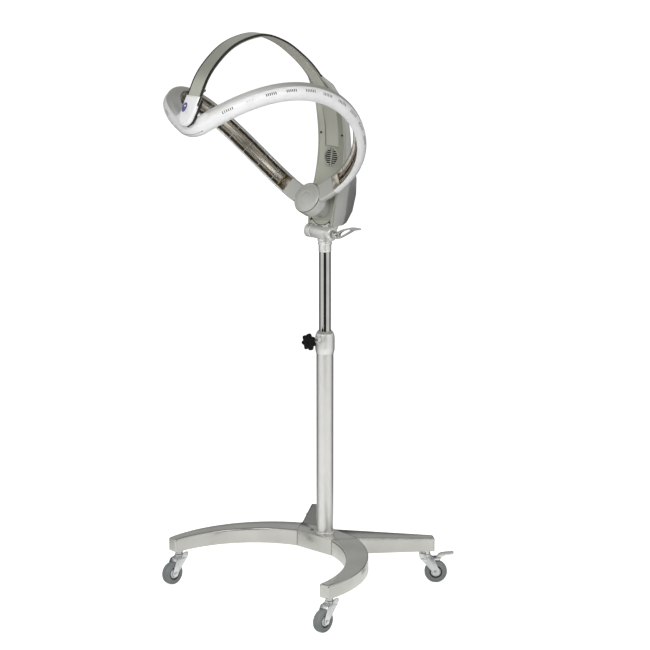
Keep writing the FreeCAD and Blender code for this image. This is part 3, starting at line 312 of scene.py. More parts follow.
def modifier(thing, kind, **settings):
    made = thing.modifiers.new(kind.lower(), kind)
    for key, value in settings.items():
        setattr(made, key, value)


def placed(name, mesh):
    thing = bpy.data.objects.new(name, mesh)
    bpy.context.scene.collection.objects.link(thing)
    return thing


def baked(thing, name):
    shape = thing.evaluated_get(bpy.context.evaluated_depsgraph_get())
    mesh = bpy.data.meshes.new_from_object(shape)
    mesh.name = name
    thing.modifiers.clear()
    thing.data = mesh


def carve(thing, cuts):
    cutters = [placed("cutter", cut.mesh("cutter")) for cut in cuts]
    for cutter in cutters:
        modifier(thing, "BOOLEAN", operation="DIFFERENCE", solver="EXACT", object=cutter)
    baked(thing, thing.name)
    for cutter in cutters:
        bpy.data.objects.remove(cutter)


def make(name, solid, body, finish, replaces=(), cuts=(), bevel=0.0, rounds=2, crease=35, melt=0.0):
    """One finished piece: melted together, cut or bevelled, then shaded and set on its body."""
    piece = placed(name, solid.mesh(name))
    if melt:
        modifier(piece, "REMESH", mode="VOXEL", voxel_size=melt * MM)
        modifier(piece, "SMOOTH", iterations=8)
        baked(piece, name)
    if cuts:
        carve(piece, cuts)
    if bevel:
        modifier(piece, "BEVEL", width=bevel * MM, segments=rounds, limit_method="ANGLE",
                 angle_limit=radians(crease), use_clamp_overlap=True)
        baked(piece, name)
    piece.data.shade_smooth()
    piece.data.set_sharp_from_angle(angle=radians(max(crease, SHARP_FROM)))
    piece.data.materials.clear()
    piece.data.materials.append(FINISHES[finish].material)
    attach(piece, body)
    if replaces:
        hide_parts(*replaces)
    return piece


# ------------------------------------------------------------ shader expressions

class Value:
    """A shader output. Arithmetic on it adds Math nodes."""

    def __init__(self, finish, socket):
        self.finish = finish
        self.socket = socket

    def math(self, operation, *values):
        return self.finish.node("ShaderNodeMath", {"operation": operation}, dict(enumerate(values)))

    def __add__(self, other):
        return self.math("ADD", self, other)

    __radd__ = __add__

    def __mul__(self, other):
        return self.math("MULTIPLY", self, other)

    def __sub__(self, other):
        return self.math("SUBTRACT", self, other)

    def __rsub__(self, other):
        return self.math("SUBTRACT", other, self)

    def above(self, low, high):
        inputs = {"Value": self, "From Min": low, "From Max": high}
        return self.finish.node("ShaderNodeMapRange", {"clamp": True}, inputs)


class Finish:
    """A procedural finish for one of the product's surfaces."""

    def __init__(self, name, slot):
        self.material = bpy.data.materials.new(name)
        self.material.use_nodes = True
        self.slot = slot
        self.tree = self.material.node_tree
        self.tree.nodes.clear()
        self.place = self.node("ShaderNodeTexCoord", out="Object")

    def node(self, kind, settings=None, inputs=None, out=0):
        """Adds a node, with its settings and its inputs set or linked."""
        made = self.tree.nodes.new(kind)
        for key, value in (settings or {}).items():
            setattr(made, key, value)
        for key, value in (inputs or {}).items():
            if isinstance(value, Value):
                self.tree.links.new(value.socket, made.inputs[key])
            else:
                made.inputs[key].default_value = value
        return Value(self, made.outputs[out]) if made.outputs else None

    def grain(self, per_metre, detail=2.0, stretch=(1, 1, 1)):
        place = self.vector("MULTIPLY", self.place, stretch)
        inputs = {"Vector": place, "Scale": per_metre, "Detail": detail}
        return self.node("ShaderNodeTexNoise", inputs=inputs)

    def vector(self, operation, first, second=(0, 0, 0), out=0):
        return self.node("ShaderNodeVectorMath", {"operation": operation}, {0: first, 1: second}, out)

    def part(self, place, axis):
        return self.node("ShaderNodeSeparateXYZ", inputs={0: place}, out=axis)

    def ray(self, kind):
        return self.node("ShaderNodeLightPath", out=f"Is {kind} Ray")

    def tint(self, factor, first, second):
        """From the first colour to the second."""
        first, second = [c if isinstance(c, Value) else (*c, 1) for c in (first, second)]
        return self.node("ShaderNodeMix", {"data_type": "RGBA"}, {0: factor, 6: first, 7: second}, 2)

    def tone(self, scale, low, high, dark, light):
        """A cloudy tone between two colours."""
        return self.tint(self.grain(scale, 3).above(low, high), linear(dark), linear(light))

    def bump(self, height, strength, depth_mm):
        inputs = {"Height": height, "Strength": strength, "Distance": depth_mm * MM}
        return self.node("ShaderNodeBump", inputs=inputs)

    def surface(self, colour, roughness, metallic=0.0, normal=None, **constants):
        inputs = {"Base Color": colour, "Roughness": roughness, "Metallic": metallic}
        if normal is not None:
            inputs["Normal"] = normal
        inputs.update({key.replace("_", " "): value for key, value in constants.items()})
        shader = self.node("ShaderNodeBsdfPrincipled", inputs=inputs)
        self.node("ShaderNodeOutputMaterial", inputs={"Surface": shader})
        return self


def linear(hexa):
    parts = [int(hexa[i:i + 2], 16) / 255 for i in (0, 2, 4)]
    return tuple(c / 12.92 if c <= 0.04045 else ((c + 0.055) / 1.055) ** 2.4 for c in parts)


def grey(level):
    return (level, level, level)


def lacquer(name, slot, light, dark, metallic, rough, flake=2600.0, coat=0.25, peel=0.05, painted_light=None):
    """Metallic lacquer: cloudy tone, fine flake, a little orange peel and, where asked, a painted light
    patch.
    """
    f = Finish(name, slot)
    cloud = f.grain(9, 3)
    fleck = f.grain(flake, 1)
    tone = (cloud * 0.75 + fleck * 0.25).above(0.3, 0.7)
    scuff = f.grain(60, 4).above(0.58, 0.8)
    normal = f.bump(f.grain(700, 2) * 0.7 + fleck * 0.3, peel, 0.25)
    colour = f.tint(tone, linear(dark), linear(light))
    if painted_light:
        # Painted light: near one place the colour turns almost white, standing in for light on the surface
        # there.
        way = f.vector("DISTANCE", f.place, PAINTED_LIGHT_PLACE * MM, "Value")
        colour = f.tint(way.above(*painted_light), linear(PAINTED_LIGHT_COLOUR), colour)
    rough = rough + (fleck - 0.5) * 0.1 + scuff * 0.06
    return f.surface(colour, rough, metallic, normal, Coat_Weight=coat, Coat_Roughness=0.12)


def moulding(name, slot, light, dark, rough, grain=1500.0, strength=0.1, coat=0.0, shine=0.5):
    """Moulded plastic or rubber: soft tone, fine grain and slightly polished patches."""
    f = Finish(name, slot)
    colour = f.tone(14, 0.3, 0.7, dark, light)
    skin = f.grain(grain, 2)
    rub = f.grain(45, 3).above(0.55, 0.8)
    rough = rough - rub * 0.08 + (skin - 0.5) * 0.06
    return f.surface(colour, rough, 0.0, f.bump(skin, strength, 0.2), Coat_Weight=coat, Coat_Roughness=0.08,
                     Specular_IOR_Level=shine)


def metal(name, slot, light, dark, rough, grain=900.0, strength=0.08, stretch=(1, 1, 1)):
    """Bare or plated metal: faint tarnish, worked grain and wiped-on smudges."""
    f = Finish(name, slot)
    colour = f.tone(30, 0.3, 0.72, dark, light)
    work = f.grain(grain, 2, stretch)
    smudge = f.grain(22, 4).above(0.5, 0.75)
    rough = rough + smudge * 0.05 + (work - 0.5) * 0.05
    return f.surface(colour, rough, 1.0, f.bump(work, strength, 0.2))


# Centre and colour of the painted light patch on the ring's rear shells, near the nose.
PAINTED_LIGHT_PLACE, PAINTED_LIGHT_COLOUR = Vector((110, -470, 1400)), "e6e6e3"
FINISHES = {
    "stand": lacquer("stand_silver_lacquer", "silver_paint", "d3d3cd", "bcbcb5", 0.82, 0.2),
    "seam": lacquer("weld_line_grey", "silver_paint", "8c8c86", "77776f", 0.7, 0.3),
    "lever": lacquer("lever_polished_cast", "aluminium", "c6c6c1", "adada8", 0.9, 0.24, 1500, 0.15, 0.1),
    "column": lacquer("column_silver_lacquer", "silver_paint", "e6e6e2", "dcdcd8", 0.8, 0.33),
    "white": moulding("shell_pearl_white", "white_gloss", "f0f0f0", "e7e7e7", 0.28, 900, 0.02, 0.3, 0.4),
    # The ring's rear shells carry a painted light patch near the nose.
    "pearl": lacquer("shell_pearl_grey_and_painted_light", "grey_plastic", "adaea7", "9e9f98", 0.45, 0.3, painted_light=(0.1, 0.27)),
    "hub": lacquer("hub_pearl_grey", "bright_paint", "cdcec8", "c0c1bb", 0.4, 0.34),
    "band": lacquer("arch_satin_silver", "bright_paint", "c6c7bb", "b8b9ac", 0.6, 0.32),
    # The arch's inner panel is a lighter copy of the band's silver: painted light for its downward face.
    "inner": lacquer("arch_inner_painted_light_satin", "bright_paint", "e2e2d6", "d4d4c7", 0.3, 0.42),
    "rail": lacquer("arch_rail_silver", "bright_paint", "a8a9a0", "98998f", 0.5, 0.34),
    "collar": lacquer("collar_bright_silver", "bright_paint", "f2f2ef", "e6e6e2", 0.5, 0.3),
    "spine": lacquer("spine_satin_silver", "bright_paint", "bcbdb0", "adaea1", 0.45, 0.36),
    "shell": lacquer("spine_shell_grey", "grey_plastic", "b9bab6", "aaaba7", 0.4, 0.34),
    # Dark trims, screw heads and gasket, also used as painted shade on the cap's neck and beside the ring's
    # hub.
    "dark_trim_and_shade": moulding("edge_trim_and_painted_shade_dark", "dark_plastic", "2c2c2a", "1e1e1c", 0.4, shine=0.25),
    "knob": moulding("knob_black_grained", "dark_plastic", "0f0f10", "070708", 0.5, 1300, 0.2, 0, 0.14),
    # Black plastic parts, and painted shade behind and inside the ring's vents.
    "black": moulding("black_plastic_and_painted_shade", "dark_plastic", "1d1d1e", "131314", 0.5),
    "tyre": moulding("tyre_grey_rubber", "rubber", "8b9090", "727777", 0.55, 800, 0.3),
    "core": moulding("wheel_light_grey", "grey_plastic", "e4e6e4", "d2d4d2", 0.35),
    "chrome": metal("mast_chrome", "chrome", "dededb", "d2d2cf", 0.045, 400, 0.004, (1, 1, 0.05)),
    "zinc": metal("caster_zinc", "steel", "dcdedd", "bcbfbf", 0.26, 260, 0.05),
    "cast": lacquer("bracket_cast_silver", "aluminium", "e8e8e5", "d8d8d4", 0.55, 0.34, 1500, 0.15, 0.12),
    "screw": metal("screw_steel", "steel", "8a8a86", "6c6c68", 0.3),
    "tubes": metal("lamp_smoked_glass", "quartz", "7d7468", "5a5147", 0.2, 200, 0.01),
    "reflector": metal("reflector_bright_roll", "reflector", "d6d1c6", "c6c0b3", 0.34, 60, 0.06, (1, 1, 8)),
    "gold": metal("lamp_holder_gold", "gold", "a89c80", "857957", 0.4),
    "stripe": moulding("lamp_warm_stripe", "quartz", "cfc8ba", "bbb3a3", 0.35),
    # The glow finish is no lamp: a white painted highlight on the sensor lens.
    "glow": moulding("lens_painted_highlight", "lens", "ffffff", "f4f0ff", 0.2),
    "lens": moulding("sensor_lens_violet", "lens", "7566b0", "2c2460", 0.12, 900, 0.02, 0.8),
}


# ------------------------------------------------------------ base and casters

def corner(p, u, v, r, n=5):
    """A rounded corner at p, from its side along u to its side along v."""
    centre = p + (u + v) * r
    turns = [pi / 2 * k / n for k in range(n + 1)]
    return [centre - v * (r * cos(t)) - u * (r * sin(t)) for t in turns]


def leg_row(a, b, f, shrink=0.0):
    """A leg's section between the plan points a and b, a share f of the way to its tip."""
    top = between(HUB_TOP, LEG_TIP_TOP, f) - shrink
    low = top + 2 * shrink - between(HUB_HEIGHT, LEG_TIP_HEIGHT, f)
    across = (b - a).normalized()
    a = a + across * shrink
    b = b - across * shrink
    return (corner(a + Z * low, across, Z, LEG_UNDER_R, 2) + corner(a + Z * top, -Z, across, LEG_EDGE_R)
            + corner(b + Z * top, -across, -Z, LEG_EDGE_R) + corner(b + Z * low, Z, -across, LEG_UNDER_R, 2))


def flat_arc(points, n):
    return [P(x, y, 0) for x, y in arc(*points, n)]


def leg_pair(inner, outer):
    last = len(inner) - 1
    rows = [leg_row(a, b, i / last) for i, (a, b) in enumerate(zip(inner, outer))]
    return Solid().loft(rows).both_sides()


def end_caps(inner, outer):
    a, b = inner[-1], outer[-1]
    out = (b - a).normalized().cross(Z)
    if out.dot(a + b - inner[-2] - outer[-2]) < 0:
        out = -out
    rows = [leg_row(a + out * step, b + out * step, 1.0, shrink) for step, shrink in LEG_PLUG_STEPS]
    return Solid().loft(rows).both_sides()


def build_base():
    front = flat_arc(FRONT_INNER, 44), flat_arc(FRONT_OUTER, 44)
    rear = [[between(P(*a, 0), P(*b, 0), k / 6) for k in range(7)] for a, b in (REAR_INNER, REAR_OUTER)]
    low = HUB_TOP - HUB_HEIGHT
    block = Solid().slab([P(x, y, low) for x, y in HUB_PLAN], Z * HUB_HEIGHT)
    seat = Solid().rod(Z * (HUB_TOP - COLUMN_SEAT), Z * (HUB_TOP + 5), TUBE_R + 0.1, 96)
    drain = Solid().rod(Z * (low - 5), Z * HUB_TOP, TUBE_R - DRAIN_WALL, 48)
    make("welded_hub_block", block, "stand", "stand", ["base_hub"], [seat, drain], bevel=HUB_EDGE_R)
    beads = Solid()
    rise = Z * (HUB_HEIGHT - 1.2)
    for a, b in ((HUB_PLAN[1], HUB_PLAN[2]), (HUB_PLAN[2], HUB_PLAN[3])):
        a, b = P(*a, low + 1), P(*b, low + 1)
        run = (b - a).normalized() * WELD_TURN
        drop = Z * WELD_TURN
        beads.bar([a, a + rise - drop, a + rise + run, b + rise - run, b + rise - drop, b], WELD_R, 8)
    make("leg_weld_lines", beads.both_sides(), "stand", "seam")
    make("front_leg_pair", leg_pair(*front), "stand", "stand", ["front_legs"])
    make("rear_leg_pair", leg_pair(*rear), "stand", "stand", ["rear_legs"])
    make("leg_end_plugs", end_caps(*front).join(end_caps(*rear)), "stand", "stand", ["leg_end_caps"])
    head = [(0, -3), (2.9, -3), (2.9, 0), (5.2, 0), (5.0, 1.2), (4.1, 2.3), (2.4, 2.8), (2.2, 1.4), (0, 1.2)]
    make("hub_level_bolt", Solid().spin(head, BOLT_PLACE, Z, 36), "stand", "screw", ["base_hub_bolt"])


def caster_axes(x, y, heading):
    """The way the wheel trails, its axle's way and its middle."""
    angle = radians(heading)
    trail = P(cos(angle), sin(angle), 0)
    return trail, P(-sin(angle), cos(angle), 0), P(x, y, WHEEL_R) + trail * CASTER_TRAIL


def tyre(place):
    _, side, wheel = caster_axes(*place)
    line = ((WHEEL_R - TYRE_DEPTH, -1.4), (18.2, -1.4), (18.2, -0.6), (18.9, 0), (26.4, 0), (27, -0.5),
            (27.8, -0.5), (28.3, 0), (29.4, -0.3), (30.8, -1.4), (31.9, -3.2), (32.35, -5.6))
    half = raised(line, WHEEL_W / 2)
    return Solid().spin(mirrored(half + [(WHEEL_R, 0.6), (32.35, 0.4)]), wheel, side, 96)


def wheel_core(place):
    trail, side, wheel = caster_axes(*place)
    h = WHEEL_W / 2
    half = raised(((4.05, 1), (8.4, 1), (9, 0.4), (9.3, -0.8), (13, -1), (13.8, -1.6), (14, -4.4),
                   (17.6, -4.4), (18, -1.6), (WHEEL_R - TYRE_DEPTH, -1.6)), h)
    solid = Solid().spin(mirrored(half), wheel, side, 72)
    for turn in round_turns(SPOKE_DIMPLES):
        spoke = Quaternion(side, turn) @ trail * SPOKE_DIMPLE_RING
        for out in (-side, side):
            solid.spin([(0, 0), (0.9, 0), (0.7, 0.4), (0, 0.5)], wheel + out * (h - 1) + spoke, out, 12)
    return solid


def dust_rings(place):
    _, side, wheel = caster_axes(*place)
    line = ((14.1, -4.8), (14.1, -3.2), (14.6, -2.8), (17.2, -2.8), (18.1, -1.2), (18.1, -4.8))
    lip = raised(line, WHEEL_W / 2)
    return Solid().spin(lip, wheel, -side, 48).spin(lip, wheel, side, 48)


def pedal_pivot(place):
    trail = caster_axes(*place)[0]
    return P(place[0], place[1], PEDAL_Z) + trail * PEDAL_TRAIL


def caster_fork(place, braked):
    trail, side, wheel = caster_axes(*place)
    half = WHEEL_W / 2 + FORK_GAP - 0.1
    crown = P(place[0], place[1], CROWN_Z)
    solid = Solid()
    for out in (-side, side):
        base = crown + out * half
        foot = wheel + out * half
        cheek = traced(base, trail, Z, [(21, 2.8)])
        cheek += traced(foot, trail, Z, [(11, 4), (8, -9), (-8, -9), (-12, 4)])
        cheek += traced(base, trail, Z, [(-20, 4), (-23, 12), (-20, 19), (-4, 19), (5, 4)])
        solid.slab(softened(cheek, FORK_CORNER_R, 5), out * FORK_WALL)
    w = half + FORK_WALL
    plan = traced(crown, trail, side, [(-19, -w), (14, -w), (20.8, 6 - w), (20.8, w - 6), (14, w), (-19, w)])
    solid.slab(softened(plan, 3, 3), Z * CROWN_T)
    race = ((6.4, 2.5), (17, 2.5), (17, 4.4), (16, 5.6), (13, 7), (12.4, 9), (12.4, 12), (11.6, 13),
            (6.4, 13))
    solid.spin(race, crown, Z, 60)
    for out in (-side, side):
        solid.spin(raised(((0, -1), (6.5, -1), (6.5, 0), (6.2, 0.6), (0, 0.6)), w), wheel, out, 40)
        solid.spin(raised(((0, 0.4), (6, 0.4), (6, 3), (5.4, 3.6), (0, 3.6)), w), wheel, out, 6)
        solid.spin(raised(((0, 3), (3.2, 3), (3.2, 4.4), (2.5, 5), (0, 5)), w), wheel, out, 24)
    solid.rod(wheel - side * w, wheel + side * w, AXLE_R, 24)
    if braked:
        pivot = pedal_pivot(place)
        reach = PEDAL_WIDTH / 2 + 0.4
        for out in (-side, side):
            tab = traced(pivot + out * reach, trail, Z, [(-14, -4), (3, -4), (5, 0), (3, 4), (-14, 2.4)])
            solid.slab(softened(tab, 2.5, 4), out * FORK_WALL)
        solid.rod(pivot - side * (reach + 2), pivot + side * (reach + 2), PEDAL_PIN_R, 20)
    return solid


def brake_pedal(place):
    trail, side, _ = caster_axes(*place)
    pivot = pedal_pivot(place)
    w = PEDAL_WIDTH / 2 - 0.1
    solid = Solid().slab(traced(pivot - side * w, trail, Z, PEDAL_LINE), side * (2 * w))
    solid.rod(pivot - side * w, pivot + side * w, PEDAL_BARREL_R, 28)
    for k in range(PEDAL_RIBS):
        a = PEDAL_RIB_FIRST + PEDAL_RIB_STEP * k
        z = 15.2 + 0.1 * (a - 20)
        root = pivot - side * (w - 2) + trail * a + Z * (z - 1.5)
        solid.slab(traced(root, trail, Z, [(0, 0), (2, 0), (1.8, 2.4), (0.2, 2.4)]), side * (2 * w - 4))
    return solid


def caster_stem(x, y):
    low = CROWN_Z - 3.4
    line = [(0, low), (8.5, low), (8.5, low + 3), (6, low + 3)]
    line += raised(((6, -10.4), (10.2, -10.4), (11, -9.6), (11, -6.4), (10.2, -5.8), (10.2, -4.8), (11, -4.2),
                    (11, 0), (6, 0), (6, 20), (0, 20)), LEG_TIP_TOP - LEG_TIP_HEIGHT)
    return Solid().spin(line, P(x, y, 0), Z, 48)


def build_casters():
    stems = Solid()
    for name, place in CASTERS.items():
        stems.join(caster_stem(*place[:2]))
        braked = name.startswith("rear")
        caster, wheel = "caster_" + name, "wheel_" + name
        make("fork_" + name, caster_fork(place, braked), caster, "zinc", ["caster_fork_" + name], bevel=0.5)
        make("tyre_" + name, tyre(place), wheel, "tyre", ["caster_tyre_" + name])
        make("core_" + name, wheel_core(place), wheel, "core", ["caster_core_" + name])
        make("dust_rings_" + name, dust_rings(place), wheel, "black")
        if braked:
            pedal = "pedal_" + name
            make(pedal, brake_pedal(place), pedal, "cast", ["brake_" + pedal], bevel=0.7)
    make("caster_stem_set", stems, "stand", "zinc", ["caster_stems"])


# ------------------------------------------------------------ column and mast

def lobed_row(y, less):
    """The hand knob's lobed outline at a depth y, drawn in by less."""
    row = []
    for t in round_turns(KNOB_LOBES * 14):
        r = KNOB_R * (1 - KNOB_LOBE_SHARE + KNOB_LOBE_SHARE * cos(KNOB_LOBES * t)) - less
        row.append(P(r * sin(t), y, KNOB_Z + r * cos(t)))
    return row


def build_column():
    foot, neck = FOOT_RING_R, COLLAR_NECK_R
    line = [(TUBE_R, 0), (foot, 0), (foot, 1.6), (foot - 0.8, 3.2), (foot - 2, 4.4),
            (foot - 3.6, FOOT_RING_H), (TUBE_R, FOOT_RING_H)]
    ring = Solid().spin(line, Z * HUB_TOP, Z, 96)
    make("column_foot_collar", ring, "stand", "column", ["column_foot_ring"])
    h = COLLAR_TOP - COLLAR_BOTTOM
    belly = Spline([(neck, 1.2), (COLLAR_R - 0.5, h * 0.18), (COLLAR_R, h * 0.5), (COLLAR_R - 0.6, h * 0.82),
                    (neck, h - 2)])
    barrel = [(TUBE_R, 0), (neck - 0.8, 0)] + [(p[0], p[1]) for p in belly.sampled(24)]
    barrel += [(neck - 0.8, h - 0.6), (neck - 2.4, h), (MAST_R + 3, h), (MAST_R + 3, h - 20)]
    collar = Solid().spin(barrel, Z * COLLAR_BOTTOM, Z, 96)
    boss = [(KNOB_SCREW_R, 20), (8.5, 20), (8.5, 34.2), (7.8, 35.2), (6.6, 35.5), (KNOB_SCREW_R, 35.5)]
    collar.spin(boss, Z * KNOB_Z, -Y, 48)
    make("clamp_collar", collar, "stand", "collar", ["column_collar"])
    r = MAST_R
    line = [(r + SLIDE_FIT, -BUSH_DEPTH), (r + SLIDE_FIT, 5), (r + 3.8, 5), (r + 4.8, 4.2), (r + 5.5, 2.4),
            (r + 5.5, 0.1), (r + 3, 0.1), (r + 3, -BUSH_DEPTH)]
    make("mast_guide_bush", Solid().spin(line, Z * COLLAR_TOP, Z, 72), "stand", "pearl", ["guide_bush"])
    knob = Solid().loft([lobed_row(y, less) for y, less in KNOB_ROWS])
    back = P(0, KNOB_BACK_Y, KNOB_Z)
    knob.spin([(0, 0), (10.2, 0), (11, 0.6), (15.4, 4.6), (0, 4.6)], back, -Y, 56)
    knob.spin([(0, 17), (17, 17.6), (16.4, 18.5), (13.6, 19.7), (12, 20.2), (9.8, 20.2), (9, 19.5),
               (0, 19.2)], back, -Y, 56)
    make("lobed_hand_knob", knob, "knob", "knob", ["height_knob"])


# ------------------------------------------------------------ swivel bracket

def yoke_plan(half, front, back, z):
    """Plan of the yoke's seat in the foot of the spine."""
    return [P(x, y, z) for x, y in
            ((-half, front), (half, front), (half, 18), (27, back), (-27, back), (-half, 18))]


def build_bracket():
    bore = MAST_R + SLIDE_FIT
    rings = [(bore, 0), (17.2, 0), (17.6, 0.5), (18, 1.6), (18, 6), (17.5, 6.4), (17.5, 7), (18, 7.4),
             (18, 20), (18.6, 20.6), (19.6, 21.2), (20, 22), (20, 26.6), (19.6, 27.4), (18.3, 28),
             (17.8, 28.6), (17.8, 29.8), (18.4, 30.4), (20.3, 30.8), (21, 31.6), (21, 38.2), (20.4, 39),
             (0, 39), (0, 29), (bore, 29)]
    sleeve = Solid().spin(rings, Z * SLEEVE_BOTTOM, Z, 96)
    make("ringed_swivel_sleeve", sleeve, "swivel_head", "collar", ["swivel_sleeve"])
    long = 2 * BOSS_HALF
    barrel = [(PIN_R, 0), (16.8, 0), (BOSS_R, 1.2), (BOSS_R, long - 1.2), (16.8, long), (PIN_R, long)]
    y, z, foot = TILT_Y, TILT_Z, SLEEVE_TOP
    boss = Solid().spin(barrel, P(-BOSS_HALF, y, z), X, 72)
    web = ((y - 13, z - 6), (y + 13, z - 6), (19, foot + 3), (19, foot), (-20, foot), (y - 15, foot + 6))
    boss.slab(side_view(4 - BOSS_HALF, web), X * (long - 8))
    make("tilt_barrel", boss, "swivel_head", "cast", ["tilt_knuckle"], bevel=0.9)
    ears = Solid()
    half = SPINE_HALF[0] - SHELL_WALL - SEAT_GAP
    top = SPINE_FRONT[0][0]
    rim = [(PIN_R, 0), (18.6, 0), (19.5, 0.9), (19.5, 16), (19.1, 17.8), (18, 19.2), (16, 20), (12, 20),
           (11.2, 19.2), (PIN_R, 19.2)]
    for s in (-1, 1):
        x = s * (BOSS_HALF + EAR_GAP)
        ears.spin(rim, P(x, y, z), X * s, 72)
        post = side_view(x, ((y - 13, z), (y + 17, z), (y + 30, top), (y + 4, top)))
        ears.slab(post, X * (s * (half - BOSS_HALF - EAR_GAP)))
    ears.slab(yoke_plan(half, -15, 46, top), Z * 6)
    make("tilt_ear_yoke", ears, "head", "cast", ["tilt_ears"], bevel=0.7)
    root = BOSS_HALF + EAR_THICK + 2 * EAR_GAP
    grip = root + LEVER_FOOT
    bow = Solid().slab(softened(traced(P(grip, y - 4, z), X, Z, LEVER_LINE), 9, 5), Y * LEVER_WIDTH)
    window = Solid().slab(softened(traced(P(grip, y - 10, z), X, Z, LEVER_WINDOW), 6, 5), Y * 20)
    bow.spin([(PIN_R + 0.05, 0), (9.2, 0), (10, 0.8), (10, 13), (9.4, 14.6), (8.2, 16.6), (7, 18), (0, 18),
              (0, 13), (PIN_R + 0.05, 13)], P(root, y, z), X, 56)
    make("tilt_bow_lever", bow, "lever", "lever", ["tilt_lever"], [window], bevel=1.6, rounds=3)


# ------------------------------------------------------------ arch

ARCH = Spline([P(0, y, z) for y, z in ARCH_LINE])


def arch_spot(f):
    """A point of the arch line and the way in towards the client."""
    return ARCH.at(f), ARCH.way(f).cross(X)


def arch_run(outline, first, last, n=150):
    """An outline of (x, depth) drawn along the arch."""
    spots = [arch_spot(f) for f in steps(first, last, n)]
    return Solid().loft([traced(p, X, inward, outline) for p, inward in spots])


def arch_slot(half, depth, first, last, n):
    """The room that the arch takes in another piece."""
    return arch_run([(-half, -SEAT_GAP), (half, -SEAT_GAP), (half, depth), (-half, depth)], first, last, n)


def rounded_box(x, near, far, r=0.8):
    """A flat box with chamfered corners."""
    return [(-x, near + r), (-x + r, near), (x - r, near), (x, near + r),
            (x, far - r), (x - r, far), (-x + r, far), (-x, far - r)]


def arch_channel():
    return arch_slot(ARCH_W / 2 + 1.45, ARCH_T + 6, 0.5, 1.002, 60)


def build_arch():
    face = ARCH_W / 2 - ARCH_TRIM_W
    half = ARCH_T / 2
    edge = ARCH_W / 2 + 1.3
    split = ARCH_T * ARCH_SPLIT
    inside = face + 0.25
    outer = arch_run(rounded_box(face, 0, half - 0.1), ARCH_START, INNER_STOP)
    outer.join(arch_run(rounded_box(edge - 0.1, 0, ARCH_T - 1.5), INNER_STOP, ARCH_END, 30))
    inner = arch_run(rounded_box(face, half + 0.1, ARCH_T), ARCH_START, INNER_STOP)
    lip = [(inside, 0.2), (edge - 0.7, 0.2), (edge, 0.9), (edge, split - 0.3), (inside, split - 0.3)]
    rail = [(inside, split), (edge - 0.3, split), (edge - 0.3, ARCH_T - 1.2), (edge - 1.2, ARCH_T - 0.3),
            (inside, ARCH_T - 0.3)]
    bands, rails = [arch_run(line, ARCH_START, INNER_STOP).both_sides() for line in (lip, rail)]
    make("arch_outer_panel", outer, "head", "band", ["arch_outer_shell"])
    # The inner panel's lighter finish is painted light on the arch's underside.
    make("arch_inner_panel", inner, "head", "inner", ["arch_inner_shell"])
    make("arch_edge_bands", bands, "head", "dark_trim_and_shade", ["arch_edge_trims"])
    make("arch_side_rails", rails, "head", "rail")


def cap_point(x, lift, along):
    return FRONT_PIVOT + X * x + LIFT * lift + AXIS * along


def cap_face(x, lift, along=0.0):
    return cap_point(x, lift, CAP_STAND + CAP_T + along)


def window_row(grow, along):
    """The sensor window's oval, grown and set off from the cap's face."""
    r = WINDOW_R + grow
    return [cap_face(WINDOW_X + r * cos(t), WINDOW_LIFT + WINDOW_STRETCH * r * sin(t), along)
            for t in round_turns(40)]


def cap_rows(rim, heights):
    """The cap's outline at heights of (along, drawn in)."""
    centre = Vector((0, CAP_MIDDLE))
    rows = []
    for along, less in heights:
        row = []
        for x, lift in rim:
            to = Vector((x, lift)) - centre
            p = centre + to * (1 - less / max(abs(to.x), abs(to.y) * 0.62))
            row.append(cap_point(p.x, p.y, CAP_STAND + along))
        rows.append(row)
    return rows


def build_cap():
    half = CAP_W / 2
    tip = arc((-CAP_TIP_X, CAP_TIP_RISE), (0, -CAP_TIP_DROP), (CAP_TIP_X, CAP_TIP_RISE), 28)
    rim = tip + [(half, CAP_SHOULDER), (half, CAP_LENGTH), (-half, CAP_LENGTH), (-half, CAP_SHOULDER)]
    cover = cap_rows(rim, CAP_STEPS)
    neck = cap_rows(rim, ((0, CAP_NECK_IN), (12.4, CAP_NECK_IN)))
    slot = arch_slot(ARCH_W / 2 + 1.6, ARCH_T + SEAT_GAP, 0.072, 0.3, 40)
    seat = Solid().loft([window_row(0.3, -2), window_row(0.3, 3)])
    make("pivot_end_cap", Solid().loft(cover), "head", "white", ["arch_end_cap"], [slot, seat], bevel=0.4)
    # The cap's drawn-in neck is dark: painted shade for the cap's shaded side wall and the gap to the ring.
    make("pivot_cap_painted_shade_neck", Solid().loft(neck), "head", "dark_trim_and_shade", (), [slot])
    lens = Solid().loft([window_row(grow, along) for grow, along in
                         ((-0.2, -1.6), (0, -0.6), (-0.3, 0.3), (-1.4, 0.8), (-3.4, 1.1), (-5.6, 1.2))])
    make("sensor_lens", lens, "head", "lens", ["sensor_window"])
    # A small white disc on the lens: a painted highlight.
    spot = cap_face(WINDOW_X + 1, WINDOW_LIFT + 3.4, -0.1)
    painted_glint = Solid().spin([(0, 0), (2.8, 0), (2.8, 1.2), (2.0, 1.5), (0, 1.6)], spot, AXIS, 28)
    make("sensor_lens_painted_highlight", painted_glint, "head", "glow")
    p, inward = arch_spot(BUTTON_RUN)
    button = Solid().spin([(0, 0.2), (5.5, 0.2), (5.5, 2.4), (5, 3.8), (4, 5.2), (2.6, 6.5), (1.4, 7.2),
                           (0, 7.4)], p + inward * ARCH_T + X * BUTTON_X, inward, 40)
    make("arch_sensor_button", button, "head", "black", ["arch_sensor"])


# ------------------------------------------------------------ spine

LEVELS = [(*front, *rest) for front, *rest in
          zip(SPINE_FRONT, SPINE_HALF, SPINE_DEPTH, SPINE_SHOULDER, SPINE_BACK_HALF)]
SPINE = Spline([P(half, y, z) for (z, y), half in zip(SPINE_FRONT, SPINE_HALF)])


